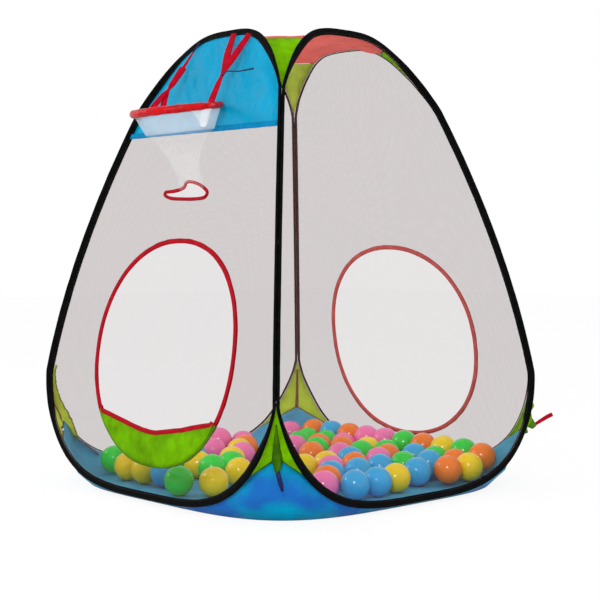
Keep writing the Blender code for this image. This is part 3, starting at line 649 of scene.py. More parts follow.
@dataclass(frozen=True)
class TentShape:
    """The rule that the four panels and their sprung loops follow, in metres."""

    loop_height: float = 0.900
    lift: float = 0.016
    half_base: float = 0.372
    top_lean: float = 0.209
    lean_power: float = 1.75
    seam_start: float = 0.216
    seam_end: float = 0.7485
    bottom_side_power: float = 3.7
    bottom_end_power: float = 1.30
    top_side_power: float = 3.5
    top_end_power: float = 1.41
    spread: float = 1.15
    tape_width: float = 0.0142
    tape_thickness: float = 0.0007
    tape_slot: float = 0.0024
    nose_radius: float = 0.00285
    turn_gap: float = 0.057
    hem_height: float = 0.703
    roof_half_flat: float = 0.100
    gusset_bulge: float = 0.10
    lap: float = 0.0035
    seam_gap: float = 0.0009
    gap: float = 0.0003

    def half_width(self, height: float) -> float:
        """Distance from the tent's middle to a panel, at a height over the loop's lowest point."""
        return self.half_base - self.top_lean * (max(height, 0.0) / self.loop_height) ** self.lean_power

    def normal(self, height: float) -> Vector:
        """The front panel's outward normal at a height."""
        share = max(height, 0.0) / self.loop_height
        lean = -self.top_lean * self.lean_power / self.loop_height * share ** (self.lean_power - 1.0)
        return Vector((0.0, -1.0, -lean)).normalized()

    def on_panel(self, across: float, height: float, out: float = 0.0) -> Vector:
        """A point on the front panel, `out` metres proud of it."""
        base = Vector((across, -self.half_width(height), self.lift + height))
        return base + self.normal(height) * out

    def loop_width(self, height: float) -> float:
        """Half the loop's width at a height."""
        if height < self.seam_start:
            share, side, end = 1.0 - height / self.seam_start, self.bottom_side_power, self.bottom_end_power
        elif height > self.seam_end:
            share = (height - self.seam_end) / (self.loop_height - self.seam_end)
            side, end = self.top_side_power, self.top_end_power
        else:
            return self.half_width(height)
        return self.half_width(height) * max(1.0 - min(share, 1.0) ** end, 0.0) ** (1.0 / side)

    def roof_height(self) -> float:
        """Height on the loop where the roof ends and a top gusset starts."""
        low, high = self.seam_end, self.loop_height
        for _ in range(40):
            middle = (low + high) / 2.0
            low, high = (middle, high) if self.loop_width(middle) > self.roof_half_flat else (low, middle)
        return low

    def heights(self, bottom: int = 34, side: int = 34, top: int = 30) -> list[float]:
        """Heights of the loop's stations from its bottom to its top."""
        found = []
        for step in range(bottom):
            turn = QUARTER * (step / bottom) ** self.spread
            found.append(self.seam_start * (1.0 - math.cos(turn) ** (2.0 / self.bottom_end_power)))
        for step in range(side):
            found.append(self.seam_start + (self.seam_end - self.seam_start) * step / side)
        for step in range(top + 1):
            turn = QUARTER * (1.0 - (1.0 - step / top) ** self.spread)
            rise = math.sin(turn) ** (2.0 / self.top_end_power)
            found.append(self.seam_end + (self.loop_height - self.seam_end) * rise)
        nearest = min(found[1:-1], key=lambda height: abs(height - self.hem_height))
        found[found.index(nearest)] = self.hem_height
        return found


@dataclass(frozen=True)
class Opening:
    """A taped hole in a panel: a superellipse, in metres on the panel."""

    across: float
    centre: float
    half_width: float
    half_height: float
    power: float
    tape: float
    steps: int = 120

    def outline(self, grow: float = 0.0) -> Outline:
        """(across, height) round the opening, anticlockwise from its right end."""
        points = []
        for step in range(self.steps):
            turn = 2.0 * math.pi * step / self.steps
            cosine, sine = math.cos(turn), math.sin(turn)
            wide = (self.half_width + grow) * abs(cosine) ** (2.0 / self.power)
            high = (self.half_height + grow) * abs(sine) ** (2.0 / self.power)
            points.append((self.across + math.copysign(wide, cosine), self.centre + math.copysign(high, sine)))
        return points


def on_curve(places: Sequence[Vector], share: float) -> Vector:
    """A point on the smooth line through four places, between the middle two."""
    a, b, c, d = places
    return (
        b * 2.0 + (c - a) * share + (a * 2.0 - b * 5.0 + c * 4.0 - d) * share ** 2
        + (b * 3.0 - a - c * 3.0 + d) * share ** 3
    ) / 2.0


def closed_curve(points: Sequence[tuple[float, float]], steps: int) -> Outline:
    """A smooth closed line through a few places, with a number of steps between each two."""
    count = len(points)
    found = []
    for index in range(count):
        near = [Vector(points[(index + shift) % count]) for shift in (-1, 0, 1, 2)]
        found += [tuple(on_curve(near, step / steps)) for step in range(steps)]
    return found


SHAPE = TentShape()
# The edge of the ball-return slot as its cloth hangs in the photograph, and the openings as they were cut
SLACK_SLOT = (
    (-0.0612, 0.5800), (-0.0431, 0.5710), (0.0119, 0.5677), (0.0560, 0.5688), (0.0676, 0.5730), (0.0664, 0.5805),
    (0.0470, 0.5905), (0.0250, 0.5970), (0.0089, 0.5992), (0.0000, 0.5972), (-0.0053, 0.5877), (-0.0312, 0.5822),
)
DOOR = Opening(0.020, 0.273, 0.207, 0.210, 2.15, 0.009)
WINDOW = Opening(0.003, 0.262, 0.212, 0.207, 2.15, 0.009)
RETURN_SLOT = Opening(0.008, 0.584, 0.066, 0.020, 2.0, 0.006, 80)


class SprungLoop:
    """Fine stations of the binding round the front panel, turned out where two loops are sewn together."""

    def __init__(self) -> None:
        """Work out every station's place and section."""
        heights = SHAPE.heights()
        right = [(SHAPE.loop_width(height), height) for height in heights]
        self.top = len(heights) - 1
        self.points: Outline = right + [(-across, height) for across, height in right[1:-1]][::-1]
        self.flange_half = (SHAPE.tape_slot + SHAPE.tape_thickness) / 2.0
        self.nose_centre = SHAPE.tape_width / 2.0 - SHAPE.nose_radius - SHAPE.tape_thickness / 2.0
        self.frames = [self.station(index) for index in range(len(self.points))]
        self.along = distances([frame[0] for frame in self.frames], True)

    def profile(self, grow: float = 0.0) -> list[tuple[float, float]]:
        """The folded tape's section: out from its centre line, and across its thickness."""
        flange = -SHAPE.tape_width / 2.0
        middle = (flange + self.nose_centre) / 2.0
        radius = SHAPE.nose_radius + grow
        half = self.flange_half + grow
        nose = []
        for degrees in NOSE_TURNS:
            turn = math.radians(degrees)
            nose.append((self.nose_centre + radius * math.cos(turn), radius * math.sin(turn)))
        swell = half + (radius - half) * 0.45
        return [(flange, -half), (middle, -swell)] + nose + [(middle, swell), (flange, half)]

    def station(self, index: int) -> tuple[Vector, Vector, Vector]:
        """Centre, outward way and thickness way of the tape at one station."""
        across, height = self.points[index]
        before = SHAPE.on_panel(*self.points[index - 1])
        after = SHAPE.on_panel(*self.points[(index + 1) % len(self.points)])
        centre = SHAPE.on_panel(across, height)
        along = ((centre - before).normalized() + (after - centre).normalized()).normalized()
        flat = along.cross(SHAPE.normal(height)).normalized()
        side = 1.0 if across >= 0.0 else -1.0
        corner = Vector((side, -1.0, 0.0)).normalized()
        fin = (corner - along * corner.dot(along)).normalized()
        away = smooth((SHAPE.half_width(height) - abs(across)) / SHAPE.turn_gap)
        out = (flat * away + fin * (1.0 - away)).normalized()
        thick = out.cross(along).normalized()
        clear = Vector((-side, -1.0, 0.0)).normalized()
        grow = SHAPE.tape_thickness / 2.0 / math.cos(math.radians(NOSE_STEP))
        reach = min((centre + out * a + thick * b).dot(clear) for a, b in self.profile(grow))
        return centre + clear * max(SHAPE.gap / 2.0 - reach, 0.0), out, thick

    def point(self, index: int, out: float, thick: float = 0.0) -> Vector:
        """A point in the tape's section at a station."""
        centre, out_way, thick_way = self.frames[index % len(self.frames)]
        return centre + out_way * out + thick_way * thick

    def sewn(self, index: int, depth: float = 0.0008) -> Vector:
        """Where a gusset, the roof or the tray is sewn behind the tape at a station."""
        share = (SHAPE.tape_width / 2.0 - SHAPE.lap) / SHAPE.tape_width
        flange = self.flange_half + (SHAPE.nose_radius - self.flange_half) * share
        return self.point(index, -SHAPE.lap, -(flange + SHAPE.tape_thickness / 2.0 + SHAPE.seam_gap + depth / 2.0))

    def sewn_at(self, height: float, depth: float = 0.0008) -> Vector:
        """The sewn edge on the right side at any height."""
        above = next(i for i in range(self.top + 1) if self.points[i][1] >= height)
        low, high = self.points[above - 1][1], self.points[above][1]
        return self.sewn(above - 1, depth).lerp(self.sewn(above, depth), (height - low) / (high - low))

    def near(self, across: float) -> int:
        """The station over the seam that is nearest to a distance from the middle."""
        upper = [i for i, point in enumerate(self.points) if point[1] > SHAPE.seam_end]
        return min(upper, key=lambda i: abs(self.points[i][0] - across))


@dataclass
class SeamStitcher:
    """Rows of stitches, instanced along a seam by Geometry Nodes."""

    pitch: float = 0.0042
    length: float = 0.0030
    radius: float = 0.00035

    def __post_init__(self) -> None:
        """Build the tree that every seam uses."""
        sheet = GrowSheet("stitch_row")
        run = {"Curve": sheet.start["Geometry"], "Length": self.pitch}
        spaced = sheet.node("GeometryNodeCurveToPoints", run, mode="LENGTH").outputs
        turn = sheet.node("FunctionNodeAlignRotationToVector", {"Vector": spaced["Tangent"]}, axis="Z")
        bead = sheet.node("GeometryNodeMeshIcoSphere", {"Subdivisions": 1, "Radius": 1.0})
        placed = sheet.node("GeometryNodeInstanceOnPoints", {
            "Points": spaced["Points"], "Instance": bead.outputs["Mesh"], "Rotation": turn.outputs["Rotation"],
            "Scale": (self.radius, self.radius, self.length / 2.0),
        })
        self.tree = sheet.close(placed.outputs["Instances"])

    def sew(self, name: str, route: Sequence[Vector], thread: Material, closed: bool = True) -> Piece:
        """One row of stitches.

        Args:
            name: the piece's name.
            route: the points that the seam follows.
            thread: the thread's finish.
            closed: the seam comes back to its start.

        Returns:
            A plain mesh piece.
        """
        curve = bpy.data.curves.new(f"{name}_route", "CURVE")
        curve.dimensions = "3D"
        spline = curve.splines.new("POLY")
        spline.points.add(len(route) - 1)
        for target, point in zip(spline.points, route):
            target.co = (*point, 1.0)
        spline.use_cyclic_u = closed
        return grown(name, curve, self.tree, thread)


def grown(name: str, data: bpy.types.ID, tree: NodeTree, material: Material, seed: int = 0) -> Piece:
    """Run a Geometry Nodes tree and keep its result as a plain mesh.

    Args:
        name: the piece's name.
        data: the curve or mesh that the tree starts from.
        tree: the tree.
        material: the result's finish.
        seed: the seed of its random turns and tints.

    Returns:
        The finished piece.
    """
    carrier = bpy.data.objects.new(f"{name}_carrier", data)
    bpy.context.scene.collection.objects.link(carrier)
    modifier = carrier.modifiers.new("grow", "NODES")
    modifier.node_group = tree
    given = {"Seed": seed, "Material": material}
    for item in tree.interface.items_tree:
        if item.item_type == "SOCKET" and item.in_out == "INPUT" and item.name in given:
            modifier[item.identifier] = given[item.name]
    bpy.context.view_layer.update()
    depsgraph = bpy.context.evaluated_depsgraph_get()
    mesh = bpy.data.meshes.new_from_object(carrier.evaluated_get(depsgraph), depsgraph=depsgraph)
    bpy.data.objects.remove(carrier, do_unlink=True)
    return shown(name, mesh, material)


class Workshop:
    """What every sub-assembly shares: the loop, the finishes, the stitcher and the ways to hand a piece over."""

    def __init__(self) -> None:
        """Make the shared tools."""
        self.loop = SprungLoop()
        self.finishes = Finishes()
        self.stitcher = SeamStitcher()

    def sheet_piece(
        self, name: str, rows: Rows, finish: Material, quarters: int = 0,
        thickness: float = CLOTH_THICKNESS, closed: bool = False, along: Sequence[float] | None = None,
    ) -> Piece:
        """Make a thin piece over rows of points.

        Args:
            name: the piece's name.
            rows: its points, row by row, as on the front side.
            finish: its finish.
            quarters: quarter turns from the front to its own side.
            thickness: its thickness.
            closed: join the last row to the first.
            along: distance of each row, as for grid_mesh.

        Returns:
            The piece, not yet handed over.
        """
        mesh = self.placed(grid_mesh(name, rows, closed, along=along), quarters)
        return thicken(shown(name, mesh, finish), thickness)

    def ride(self, piece: Piece, body: str, slot: str, nodes: Sequence[str] = ()) -> Piece:
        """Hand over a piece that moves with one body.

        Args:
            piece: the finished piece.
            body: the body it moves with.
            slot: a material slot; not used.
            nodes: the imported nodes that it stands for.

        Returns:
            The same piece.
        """
        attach(piece, body)
        return self.named(piece, slot, nodes)

    def bend(
        self, piece: Piece, corner: Corner, slot: str, nodes: Sequence[str] = ()
    ) -> Piece:
        """Hand over a corner's piece: on a corner with one body it rides on it, and on one with two its place is only
        baked in.
        """
        bodies = CORNER_BODIES[corner]
        if len(bodies) == 1:
            return self.ride(piece, bodies[0], slot, nodes)
        quarters = corner.value
        first = Side(quarters).body
        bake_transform(piece)
        return self.named(piece, slot, nodes)

    def named(self, piece: Piece, slot: str, nodes: Sequence[str]) -> Piece:
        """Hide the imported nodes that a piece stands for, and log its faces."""
        if nodes:
            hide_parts(*nodes)
        log.info("%s: %d faces", piece.name, len(piece.data.polygons))
        return piece

    @staticmethod
    def placed(mesh: Mesh, quarters: int) -> Mesh:
        """A mesh turned from the front to its own side."""
        mesh.transform(Matrix.Rotation(QUARTER * quarters, 4, "Z"))
        return mesh


def sheet_of(
    piece: Piece,
    size: tuple[float, float],
    with_pieces: Sequence[Piece] = (),
) -> None:
    """Log a sheet of cloth's area and the size that it was cut from, taken smaller where the sheet fills little of it.

    Args:
        piece: the sheet, already handed over.
        size: the length and width that it was cut from.
        with_pieces: what is sewn to it; not used.
    """
    area = min(sum(face.area for face in piece.data.polygons), size[0] * size[1])
    lean = math.sqrt(min(area / (LEAST_FILLED * size[0] * size[1]), 1.0))
    size = (size[0] * lean, size[1] * lean)
    log.info("%s: %.4f m2 of %.3f by %.3f", piece.name, area, *size)


@dataclass
class BindingTape:
    """The black tape folded over each sprung loop, with its row of stitches."""

    shop: Workshop
    waviness: float = 0.00045
    stitch_inset: float = 0.0022

    def build(self) -> None:
        """Make the tape, welt and stitches of all four panels."""
        loop = self.shop.loop
        for side in Side:
            rows = []
            for index in range(len(loop.points)):
                centre = loop.frames[index][0]
                lean = ripple(centre, 0.030, side.value * 3.1) * self.waviness
                rows.append([
                    loop.point(index, a + lean, b * (1.0 + 0.10 * ripple(centre, 0.016, side.value + 9.0)))
                    for a, b in loop.profile()
                ])
            piece = self.shop.sheet_piece(
                f"{side.label}_tape", rows, self.shop.finishes.tape, side.value, SHAPE.tape_thickness, True,
                loop.along,
            )
            self.shop.ride(piece, side.body, "black_tape", [f"{side.label}_edge_binding"])
            self.stitch(side)
            self.welt(side)

    def welt(self, side: Side) -> None:
        """Lay the narrow tape that joins this loop to the next one between their folds."""
        loop = self.shop.loop
        rows = []
        for index in range(loop.top):
            if SHAPE.seam_start - 0.012 < loop.points[index][1] < SHAPE.seam_end + 0.008:
                row = [loop.point(index, loop.nose_centre + reach) for reach in (-0.0030, 0.0, 0.0026)]
                middles = [(point.x - point.y) / 2.0 for point in row]
                rows.append([Vector((middle, -middle, point.z)) for middle, point in zip(middles, row)])
        piece = self.shop.sheet_piece(
            f"{side.label}_seam_welt", rows, self.shop.finishes.welt, side.value, SHAPE.seam_gap * 0.5
        )
        self.shop.ride(piece, side.body, "black_tape")

    def stitch(self, side: Side) -> None:
        """Sew a row of stitches through the tape's outer face."""
        loop = self.shop.loop
        inset = -SHAPE.tape_width / 2.0 + self.stitch_inset
        proud = loop.flange_half + SHAPE.tape_thickness / 2.0 + STITCH_LIFT
        route = [turned(loop.point(index, inset, proud), side.value) for index in range(len(loop.points))]
        row = self.shop.stitcher.sew(f"{side.label}_tape_stitches", route, self.shop.finishes.black_thread)
        self.shop.ride(row, side.body, "black_tape")


@dataclass(frozen=True)
class RimPoint:
    """A point of a cloth's edge: on the flat, at the tape's mouth and in the tape's slot."""

    flat: tuple[float, float]
    mouth: Vector
    slot: Vector


@dataclass
class PanelCloth:
    """A panel's cloth, cut to its loop with its holes, and laid in the tape's slot."""

    shop: Workshop
    spacing: float = 0.012
    slot_end: float = 0.0036
    mouth: float = 0.0015
    ease: float = 0.026

    def relief(self, across: float, height: float, seed: float) -> float:
        """How far the stretched net stands out of its panel."""
        place = Vector((across, height, 0.0))
        return ripple(place, 0.22, seed) * 0.0016 + ripple(place, 0.07, seed + 4.0) * 0.0005

    def cut(
        self, name: str, low: float, high: float, holes: Sequence[Outline],
        relief: Callable[[float, float], float], spacing: float,
    ) -> Mesh:
        """Cut the cloth between two heights.

        Args:
            name: the mesh's name.
            low: the lowest height.
            high: the highest height.
            holes: outlines of its openings.
            relief: how far it stands out at a place.
            spacing: distance between its points.

        Returns:
            The mesh, on the front panel.
        """
        loop = self.shop.loop
        inner = -SHAPE.tape_width / 2.0
        kept = [i for i, point in enumerate(loop.points) if low - TINY <= point[1] <= high + TINY]
        whole = len(kept) == len(loop.points)
        if not whole:
            gap = next((n for n in range(1, len(kept)) if kept[n] - kept[n - 1] > 1), 0)
            kept = kept[gap:] + kept[:gap]
        rim = []
        for index in kept:
            mouth = loop.point(index, inner - self.mouth)
            slot = loop.point(index, inner + self.slot_end)
            rim.append(RimPoint((mouth.x, mouth.z - SHAPE.lift), mouth, slot))
        if not whole:
            rim += self.straight_edge(rim[0].flat, rim[-1].flat, spacing)
        outer = len(rim)
        rings = [[point.flat for point in rim], *holes]
        points = [Vector(place) for ring in rings for place in ring] + self.inside(rings, spacing)
        borders, start = [], 0
        for ring in rings:
            borders += [(start + i, start + (i + 1) % len(ring)) for i in range(len(ring))]
            start += len(ring)
        verts, _, faces, *_ = delaunay_2d_cdt(points, borders, [], 1, 1e-7)
        faces = [tuple(face) for face in faces if not any(self.holds(hole, verts, face) for hole in holes)]
        places = [rim[i].mouth if i < outer else self.lifted(place, rim, relief) for i, place in enumerate(verts)]
        corners = [(verts[i][0], verts[i][1]) for face in faces for i in face]
        lining = len(places)
        places += [point.slot for point in rim]
        for here in range(outer if whole else outer - 1):
            after = (here + 1) % outer
            if any((rim[i].slot - rim[i].mouth).length >= TINY for i in (here, after)):
                faces.append((here, lining + here, lining + after, after))
                corners += [rim[here].flat, rim[here].flat, rim[after].flat, rim[after].flat]
        mesh = bare_mesh(name, places, faces)
        paint_uv(mesh, corners)
        self.face_out(mesh)
        return mesh

    @staticmethod
    def straight_edge(first: tuple[float, float], last: tuple[float, float], spacing: float) -> list[RimPoint]:
        """A part panel's hem: a straight run of points from its last point back to its first."""
        steps = max(int(abs(first[0] - last[0]) / spacing), 2)
        found = []
        for step in range(1, steps):
            place = tuple(end + (start - end) * (step / steps) for start, end in zip(first, last))
            point = SHAPE.on_panel(*place)
            found.append(RimPoint(place, point, point))
        return found

    @staticmethod
    def holds(hole: Outline, verts: Sequence[Vector], face: Sequence[int]) -> bool:
        """True if a face's middle lies in a hole."""
        return within(hole, *(sum(verts[i][axis] for i in face) / len(face) for axis in (0, 1)))

    @staticmethod
    def inside(rings: Sequence[Outline], spacing: float) -> list[Vector]:
        """Grid points inside the first ring and outside the others, clear of all of them."""
        places = [place for ring in rings for place in ring]
        edges = KDTree(len(places))
        for index, place in enumerate(places):
            edges.insert((*place, 0.0), index)
        edges.balance()
        (left, low), (right, high) = (tuple(pick(end) for end in zip(*rings[0])) for pick in (min, max))
        found = []
        row, y = 0, low + spacing
        while y < high:
            x = left + spacing * (1.0 if row % 2 else 0.5)
            while x < right:
                clear = edges.find((x, y, 0.0))[2] > spacing * 0.55
                if clear and within(rings[0], x, y) and not any(within(hole, x, y) for hole in rings[1:]):
                    found.append(Vector((x, y)))
                x += spacing
            y += spacing * math.sqrt(0.75)
            row += 1
        return found

    def lifted(self, place: Vector, rim: Sequence[RimPoint], relief: Callable[[float, float], float]) -> Vector:
        """An inner point's place in the tent, eased into the rim's own."""
        x, y = place
        best = min(rim, key=lambda point: (point.flat[0] - x) ** 2 + (point.flat[1] - y) ** 2)
        share = smooth(math.hypot(best.flat[0] - x, best.flat[1] - y) / self.ease)
        base = SHAPE.on_panel(x, y, relief(x, y) * share)
        return base + (best.mouth - SHAPE.on_panel(*best.flat)) * (1.0 - share)

    @staticmethod
    def face_out(mesh: Mesh) -> None:
        """Turn all faces outwards and drop points without a face."""
        work = bmesh.new()
        work.from_mesh(mesh)
        bmesh.ops.delete(work, geom=[vert for vert in work.verts if not vert.link_faces], context="VERTS")
        bmesh.ops.reverse_faces(work, faces=[face for face in work.faces if face.normal.y > 0.0])
        work.to_mesh(mesh)
        work.free()


def within(ring: Outline, x: float, y: float) -> bool:
    """True if a place lies inside a closed ring."""
    found = False
    before = ring[-1]
    for here in ring:
        if (here[1] > y) != (before[1] > y):
            cross = (before[0] - here[0]) * (y - here[1]) / (before[1] - here[1]) + here[0]
            if x < cross:
                found = not found
        before = here
    return found


@dataclass
class NetPanels:
    """The four panels of fine net."""

    shop: Workshop
    flat_size: tuple[float, float] = (0.74, 0.92)

    def build(self) -> None:
        """Cut and place every panel's net, and log its size."""
        cloth = PanelCloth(self.shop)
        holes = {Side.FRONT: [DOOR.outline(), closed_curve(SLACK_SLOT, 6)], Side.BACK: [WINDOW.outline()]}
        for side in Side:
            seed = 1.0 + side.value * 5.0
            high = SHAPE.hem_height if side is Side.FRONT else SHAPE.loop_height
            mesh = cloth.cut(
                f"{side.label}_net", 0.0, high, holes.get(side, []),
                lambda across, height: cloth.relief(across, height, seed), cloth.spacing,
            )
            piece = shown(f"{side.label}_net", self.shop.placed(mesh, side.value), self.shop.finishes.net)
            self.shop.ride(piece, side.body, "white_mesh", [f"{side.label}_mesh_panel"])
            size = (self.flat_size[0], 0.72) if side is Side.FRONT else self.flat_size
            sheet_of(piece, size)


@dataclass
class OpeningTrim:
    """The red tape round the door, the window and the ball-return slot, and the door's green sill."""

    shop: Workshop
    slot: float = 0.0024
    lip_top: tuple[tuple[float, float], ...] = (
        (-0.155, 0.1475), (-0.110, 0.139), (-0.063, 0.1300), (-0.020, 0.1225), (0.012, 0.1195), (0.030, 0.1200),
        (0.070, 0.1265), (0.109, 0.1325), (0.150, 0.1420), (0.193, 0.1510),
    )
    lip_lap: float = 0.005
    lip_seat: float = 0.0032

    def tape_rows(self, edge: Outline, closed: bool, tape: float, seed: float, seat: float = 0.0) -> Rows:
        """The folded tape's section swept along an opening's edge."""
        half = (self.slot + SHAPE.tape_thickness) / 2.0
        fold = half + SHAPE.gap
        section = [
            (tape - fold, -half), (tape * 0.4 - fold, -half * 1.1), (-fold * 0.3, -half), (-fold * 0.85, -half * 0.6),
            (-fold, 0.0), (-fold * 0.85, half * 0.6), (-fold * 0.3, half), (tape * 0.4 - fold, half * 1.1),
            (tape - fold, half),
        ]
        rows = []
        count = len(edge)
        for index, (across, height) in enumerate(edge):
            before = edge[index - 1] if closed or index else edge[0]
            after = edge[(index + 1) % count] if closed or index < count - 1 else edge[-1]
            run = Vector((after[0] - before[0], after[1] - before[1])).normalized()
            away = Vector((run.y, -run.x))
            place = Vector((across, height, seed))
            wave = 1.0 + 0.10 * ripple(place, 0.018, seed)
            shift = ripple(place, 0.030, seed + 3.0) * 0.0006
            rows.append([
                SHAPE.on_panel(across + away.x * (reach * wave + shift), height + away.y * (reach * wave + shift),
                               seat + depth * wave)
                for reach, depth in section
            ])
        return rows

    def trim(
        self, name: str, edge: Outline, side: Side, nodes: Sequence[str], closed: bool = True,
        tape: float = 0.009, material: Material | None = None, slot: str = "red_cloth",
        seat: float = 0.0, stitched: bool = True,
    ) -> Piece:
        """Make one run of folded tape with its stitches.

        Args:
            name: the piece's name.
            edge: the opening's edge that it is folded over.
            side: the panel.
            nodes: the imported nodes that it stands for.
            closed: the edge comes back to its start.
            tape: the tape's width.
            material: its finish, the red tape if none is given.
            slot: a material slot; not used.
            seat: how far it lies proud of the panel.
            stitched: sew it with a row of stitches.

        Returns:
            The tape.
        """
        finishes = self.shop.finishes
        rows = self.tape_rows(edge, closed, tape, 2.0 + len(name), seat)
        finish = material or finishes.red_tape
        piece = self.shop.sheet_piece(name, rows, finish, side.value, SHAPE.tape_thickness, closed)
        self.shop.ride(piece, side.body, slot, nodes)
        if stitched:
            lift = SHAPE.normal(0.4) * (SHAPE.tape_thickness / 2.0 + STITCH_LIFT)
            route = [turned(row[-1].lerp(row[-2], 0.3) + lift, side.value) for row in rows]
            sewn = self.shop.stitcher.sew(f"{name}_stitches", route, finishes.red_thread, closed)
            self.shop.ride(sewn, side.body, slot)
        return piece

    def lip_height(self, across: float) -> float:
        """Height of the sill's top edge."""
        points = self.lip_top
        across = min(max(across, points[0][0]), points[-1][0])
        (x0, y0), (x1, y1) = next(pair for pair in zip(points, points[1:]) if across <= pair[1][0])
        return y0 + (y1 - y0) * (across - x0) / (x1 - x0)

    def door_split(self) -> tuple[Outline, Outline]:
        """The door's edge over the sill, and its edge under the sill's ends."""
        edge = DOOR.outline()
        under = [i for i, (across, height) in enumerate(edge) if height < self.lip_height(across)]
        first, last = min(under), max(under)
        return edge[last + 1:] + edge[:first], edge[first - 1:last + 2]

    def sill_rows(self, lower: Outline) -> tuple[Rows, Outline]:
        """Rows of the green sill up from the door's lower edge, and its own top edge."""
        columns, parts = 48, 12
        left, right = min(x for x, _ in lower), max(x for x, _ in lower)
        rows, top_edge = [], []
        for column in range(columns + 1):
            share = 0.5 - 0.5 * math.cos(math.pi * column / columns)
            across = left + (right - left) * share
            inner = min(abs(across - DOOR.across) / DOOR.half_width, 1.0)
            sunk = (1.0 - inner ** DOOR.power) ** (1.0 / DOOR.power)
            bottom = DOOR.centre - DOOR.half_height * sunk
            low = bottom - self.lip_lap
            high = max(self.lip_height(across), bottom + 0.002)
            top_edge.append((across, high))
            line = []
            for part in range(parts + 1):
                height = low + (high - low) * part / parts
                place = Vector((across, height, 0.0))
                free = math.sin(math.pi * min(max((height - low) / (high - low + TINY), 0.0), 1.0))
                sag = 0.0040 * free * (0.4 + ripple(place, 0.06, 6.0)) + 0.0012 * free * crease(place, 0.045, 2.0)
                line.append(SHAPE.on_panel(across, height, self.lip_seat + sag))
            rows.append(line)
        return rows, top_edge

    def build(self) -> None:
        """Make all the trim."""
        finishes, front = self.shop.finishes, Side.FRONT
        upper, lower = self.door_split()
        self.trim("door_tape", upper, front, ["door_binding"], False, DOOR.tape)
        self.trim(
            "door_tape_lower", lower, front, ["door_binding"], False, DOOR.tape, finishes.lime_tape, "lime_cloth",
            stitched=False,
        )
        rows, top_edge = self.sill_rows(lower)
        sill = self.shop.sheet_piece("door_sill", rows, finishes.lime)
        self.shop.ride(sill, front.body, "lime_cloth", ["door_lip"])
        rim = self.trim("door_sill_tape", top_edge[::-1], front, ["door_lip"], False, 0.0085, seat=self.lip_seat)
        sheet_of(sill, (0.40, 0.10), [rim])
        self.trim(
            "window_tape", WINDOW.outline(), Side.BACK, ["window_binding"], tape=WINDOW.tape,
            material=finishes.window_tape,
        )
        slot_edge = closed_curve(SLACK_SLOT, 7)
        self.trim("return_slot_tape", slot_edge, front, ["return_slot_binding"], tape=RETURN_SLOT.tape)


@dataclass
class Backboard:
    """The satin board over the top of the front panel, and the hem along its foot."""

    shop: Workshop
    spacing: float = 0.0065
    hem_width: float = 0.010

    def relief(self, across: float, height: float) -> float:
        """The board's folds: soft waves, sharp packing creases and puckers over the hem."""
        place = Vector((across * 1.5, height * 0.75, 0.0))
        soft = 0.0030 * ripple(place, 0.050, 3.0) + 0.0014 * ripple(place, 0.018, 8.0)
        sharp = 0.0022 * crease(Vector((across + height * 0.6, height * 0.4, 0.0)), 0.040, 5.0)
        fade = smooth((height - SHAPE.hem_height) / 0.055)
        pucker = 0.0011 * math.sin(across * 2.0 * math.pi / 0.017 + 3.0 * ripple(place, 0.05, 1.0)) * (1.0 - fade)
        return soft + sharp * fade + pucker

    def build(self) -> None:
        """Make the board and its hem."""
        cloth = PanelCloth(self.shop, ease=0.018)
        mesh = cloth.cut("backboard_cloth", SHAPE.hem_height, SHAPE.loop_height, [], self.relief, self.spacing)
        board = shown("backboard_cloth", mesh, self.shop.finishes.board)
        self.shop.ride(board, "front_side", "cyan_cloth", ["backboard"])
        sheet_of(board, (0.50, 0.20), [self.hem()])

    def hem(self) -> Piece:
        """The blue tape over the joint with the net."""
        reach = SHAPE.loop_width(SHAPE.hem_height) - 0.008
        steps = 60
        section = (
            (-self.hem_width * 0.55, 0.0004), (-self.hem_width * 0.50, 0.0014), (0.0, 0.0018),
            (self.hem_width * 0.45, 0.0014), (self.hem_width * 0.5, 0.0003),
        )
        rows = []
        for step in range(steps + 1):
            across = -reach + 2.0 * reach * step / steps
            wave = 0.0005 * ripple(Vector((across, 0.0, 0.0)), 0.03, 7.0)
            rows.append([SHAPE.on_panel(across, SHAPE.hem_height + rise + wave, out) for rise, out in section])
        piece = self.shop.sheet_piece("backboard_foot", rows, self.shop.finishes.blue_hem)
        return self.shop.ride(piece, "front_side", "blue_cloth", ["backboard_hem"])


@dataclass(frozen=True)
class CornerSeam:
    """A lower gusset: where it meets the tray, its rise at the corner, its fullness and its folds."""

    height: float
    peak: float
    bulge: float
    slack: float


SEAMS = {
    Corner.FRONT_RIGHT: CornerSeam(0.052, 0.050, 0.10, 0.0060),
    Corner.BACK_RIGHT: CornerSeam(0.062, 0.036, 0.24, 0.0110),
    Corner.BACK_LEFT: CornerSeam(0.036, 0.048, 0.10, 0.0045),
    Corner.FRONT_LEFT: CornerSeam(0.074, 0.032, 0.08, 0.0110),
}


def corner_point(edge: Vector, share: float, peak: float, bulge: float) -> Vector:
    """A point of a seam from the front loop, over the front right corner, to the right loop.

    Args:
        edge: where the seam starts on the front loop.
        share: how far along it, from 0 to 1.
        peak: its rise at the corner, in metres.
        bulge: how far it stands out at the corner, as a share of its width.

    Returns:
        The point.
    """
    other = mirrored(edge)
    arch = 4.0 * share * (1.0 - share)
    tent = 1.0 - abs(2.0 * share - 1.0)
    width = (edge - other).length
    point = edge.lerp(other, share) + OUTWARD * width * bulge * (0.35 * arch + 0.65 * tent)
    point.z += peak * tent
    return point


def with_sides(line: Sequence[Vector], face: Vector) -> list[tuple[Vector, Vector]]:
    """Each point of a line with the way across a strip that lies on it and shows its outer side to `face`."""
    last = len(line) - 1
    found = []
    for index, point in enumerate(line):
        run = (line[min(index + 1, last)] - line[max(index - 1, 0)]).normalized()
        found.append((point, run.cross(face).normalized()))
    return found


